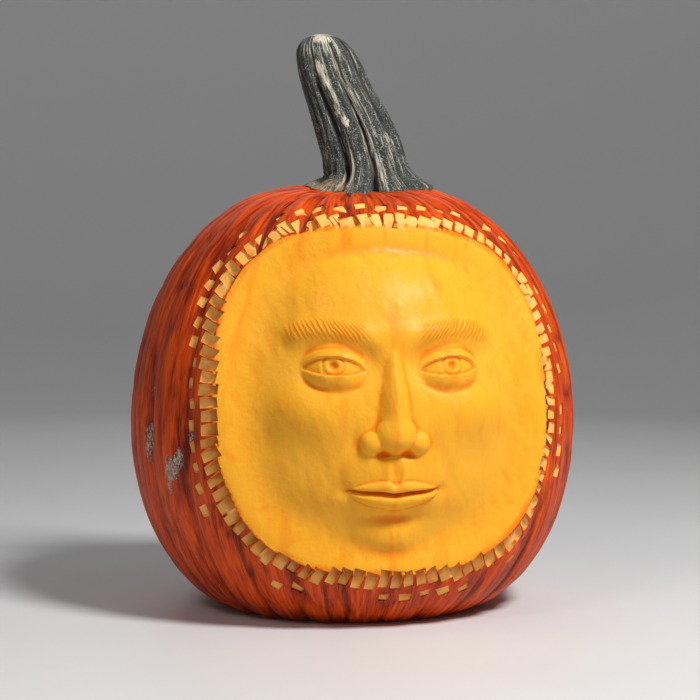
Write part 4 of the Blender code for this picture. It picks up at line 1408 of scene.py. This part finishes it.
def floor_sweep():
    """A round floor that curves up all round: a profile of line and arc turned round the axis."""
    bend = np.linspace(0.0, math.pi / 2, FLOOR_STEPS)
    reach = np.append(FLOOR_REACH + FLOOR_BEND * np.sin(bend), FLOOR_REACH + FLOOR_BEND)
    height = np.append(FLOOR_BEND * (1.0 - np.cos(bend)), FLOOR_TOP)
    turn = np.linspace(0.0, FULL_TURN, FLOOR_SIDES, endpoint=False)
    x = reach[:, None] * np.cos(turn)
    y = reach[:, None] * np.sin(turn)
    z = np.broadcast_to(height[:, None], x.shape)
    points = np.stack([x, y, z], axis=-1).reshape(-1, 3)
    mesh = bpy.data.meshes.new("floor")
    faces = [list(range(FLOOR_SIDES))] + ring_faces(len(reach), FLOOR_SIDES)[:, ::-1].tolist()
    mesh.from_pydata(points.tolist(), [], faces)
    return mesh


def photo_camera():
    """The photograph's camera: level with the upper half, turned to the left of the face."""
    lens = bpy.data.cameras.new("photo_camera")
    lens.lens = VIEW_LENS
    lens.sensor_width = SENSOR_WIDTH
    camera = bpy.data.objects.new("photo_camera", lens)
    bpy.context.collection.objects.link(camera)
    camera.location = (VIEW_DISTANCE * math.sin(VIEW_TURN), -VIEW_DISTANCE * math.cos(VIEW_TURN), VIEW_HEIGHT)
    pixel = SENSOR_WIDTH / VIEW_LENS / IMAGE_SIZE
    aside = math.atan((AXIS_PIXEL - IMAGE_SIZE / 2) * pixel)
    camera.rotation_euler = (math.pi / 2 - VIEW_DROP, 0.0, VIEW_TURN + aside)
    return camera


class PUMPKIN_PT_panel(bpy.types.Panel):
    """The pumpkin's settings and its steps"""

    bl_idname = "PUMPKIN_PT_panel"
    bl_label = "Carved Pumpkin"
    bl_space_type = "VIEW_3D"
    bl_region_type = "UI"
    bl_category = "Pumpkin"

    def draw(self, context):
        for settings, operator in (("pumpkin_body", "pumpkin.body"), ("pumpkin_carving", None),
                                   ("pumpkin_stem", "pumpkin.stem"), ("pumpkin_stage", "pumpkin.stage")):
            group = getattr(context.scene, settings)
            box = self.layout.box()
            for name in group.__annotations__:
                box.prop(group, name)
            if operator:
                box.operator(operator)


GROUPS = {
    "pumpkin_body": PumpkinBodySettings,
    "pumpkin_carving": PumpkinCarvingSettings,
    "pumpkin_stem": PumpkinStemSettings,
    "pumpkin_stage": PumpkinStageSettings,
}
OPERATORS = (PUMPKIN_OT_body, PUMPKIN_OT_stem, PUMPKIN_OT_stage)


def register():
    for name, group in GROUPS.items():
        bpy.utils.register_class(group)
        setattr(bpy.types.Scene, name, PointerProperty(type=group))
    for operator in OPERATORS:
        bpy.utils.register_class(operator)
    bpy.utils.register_class(PUMPKIN_PT_panel)


def unregister():
    bpy.utils.unregister_class(PUMPKIN_PT_panel)
    for operator in reversed(OPERATORS):
        bpy.utils.unregister_class(operator)
    for name, group in GROUPS.items():
        delattr(bpy.types.Scene, name)
        bpy.utils.unregister_class(group)


def main():
    register()
    bpy.ops.pumpkin.body()
    bpy.ops.pumpkin.stem()
    bpy.ops.pumpkin.stage()


if __name__ == "__main__":
    main()
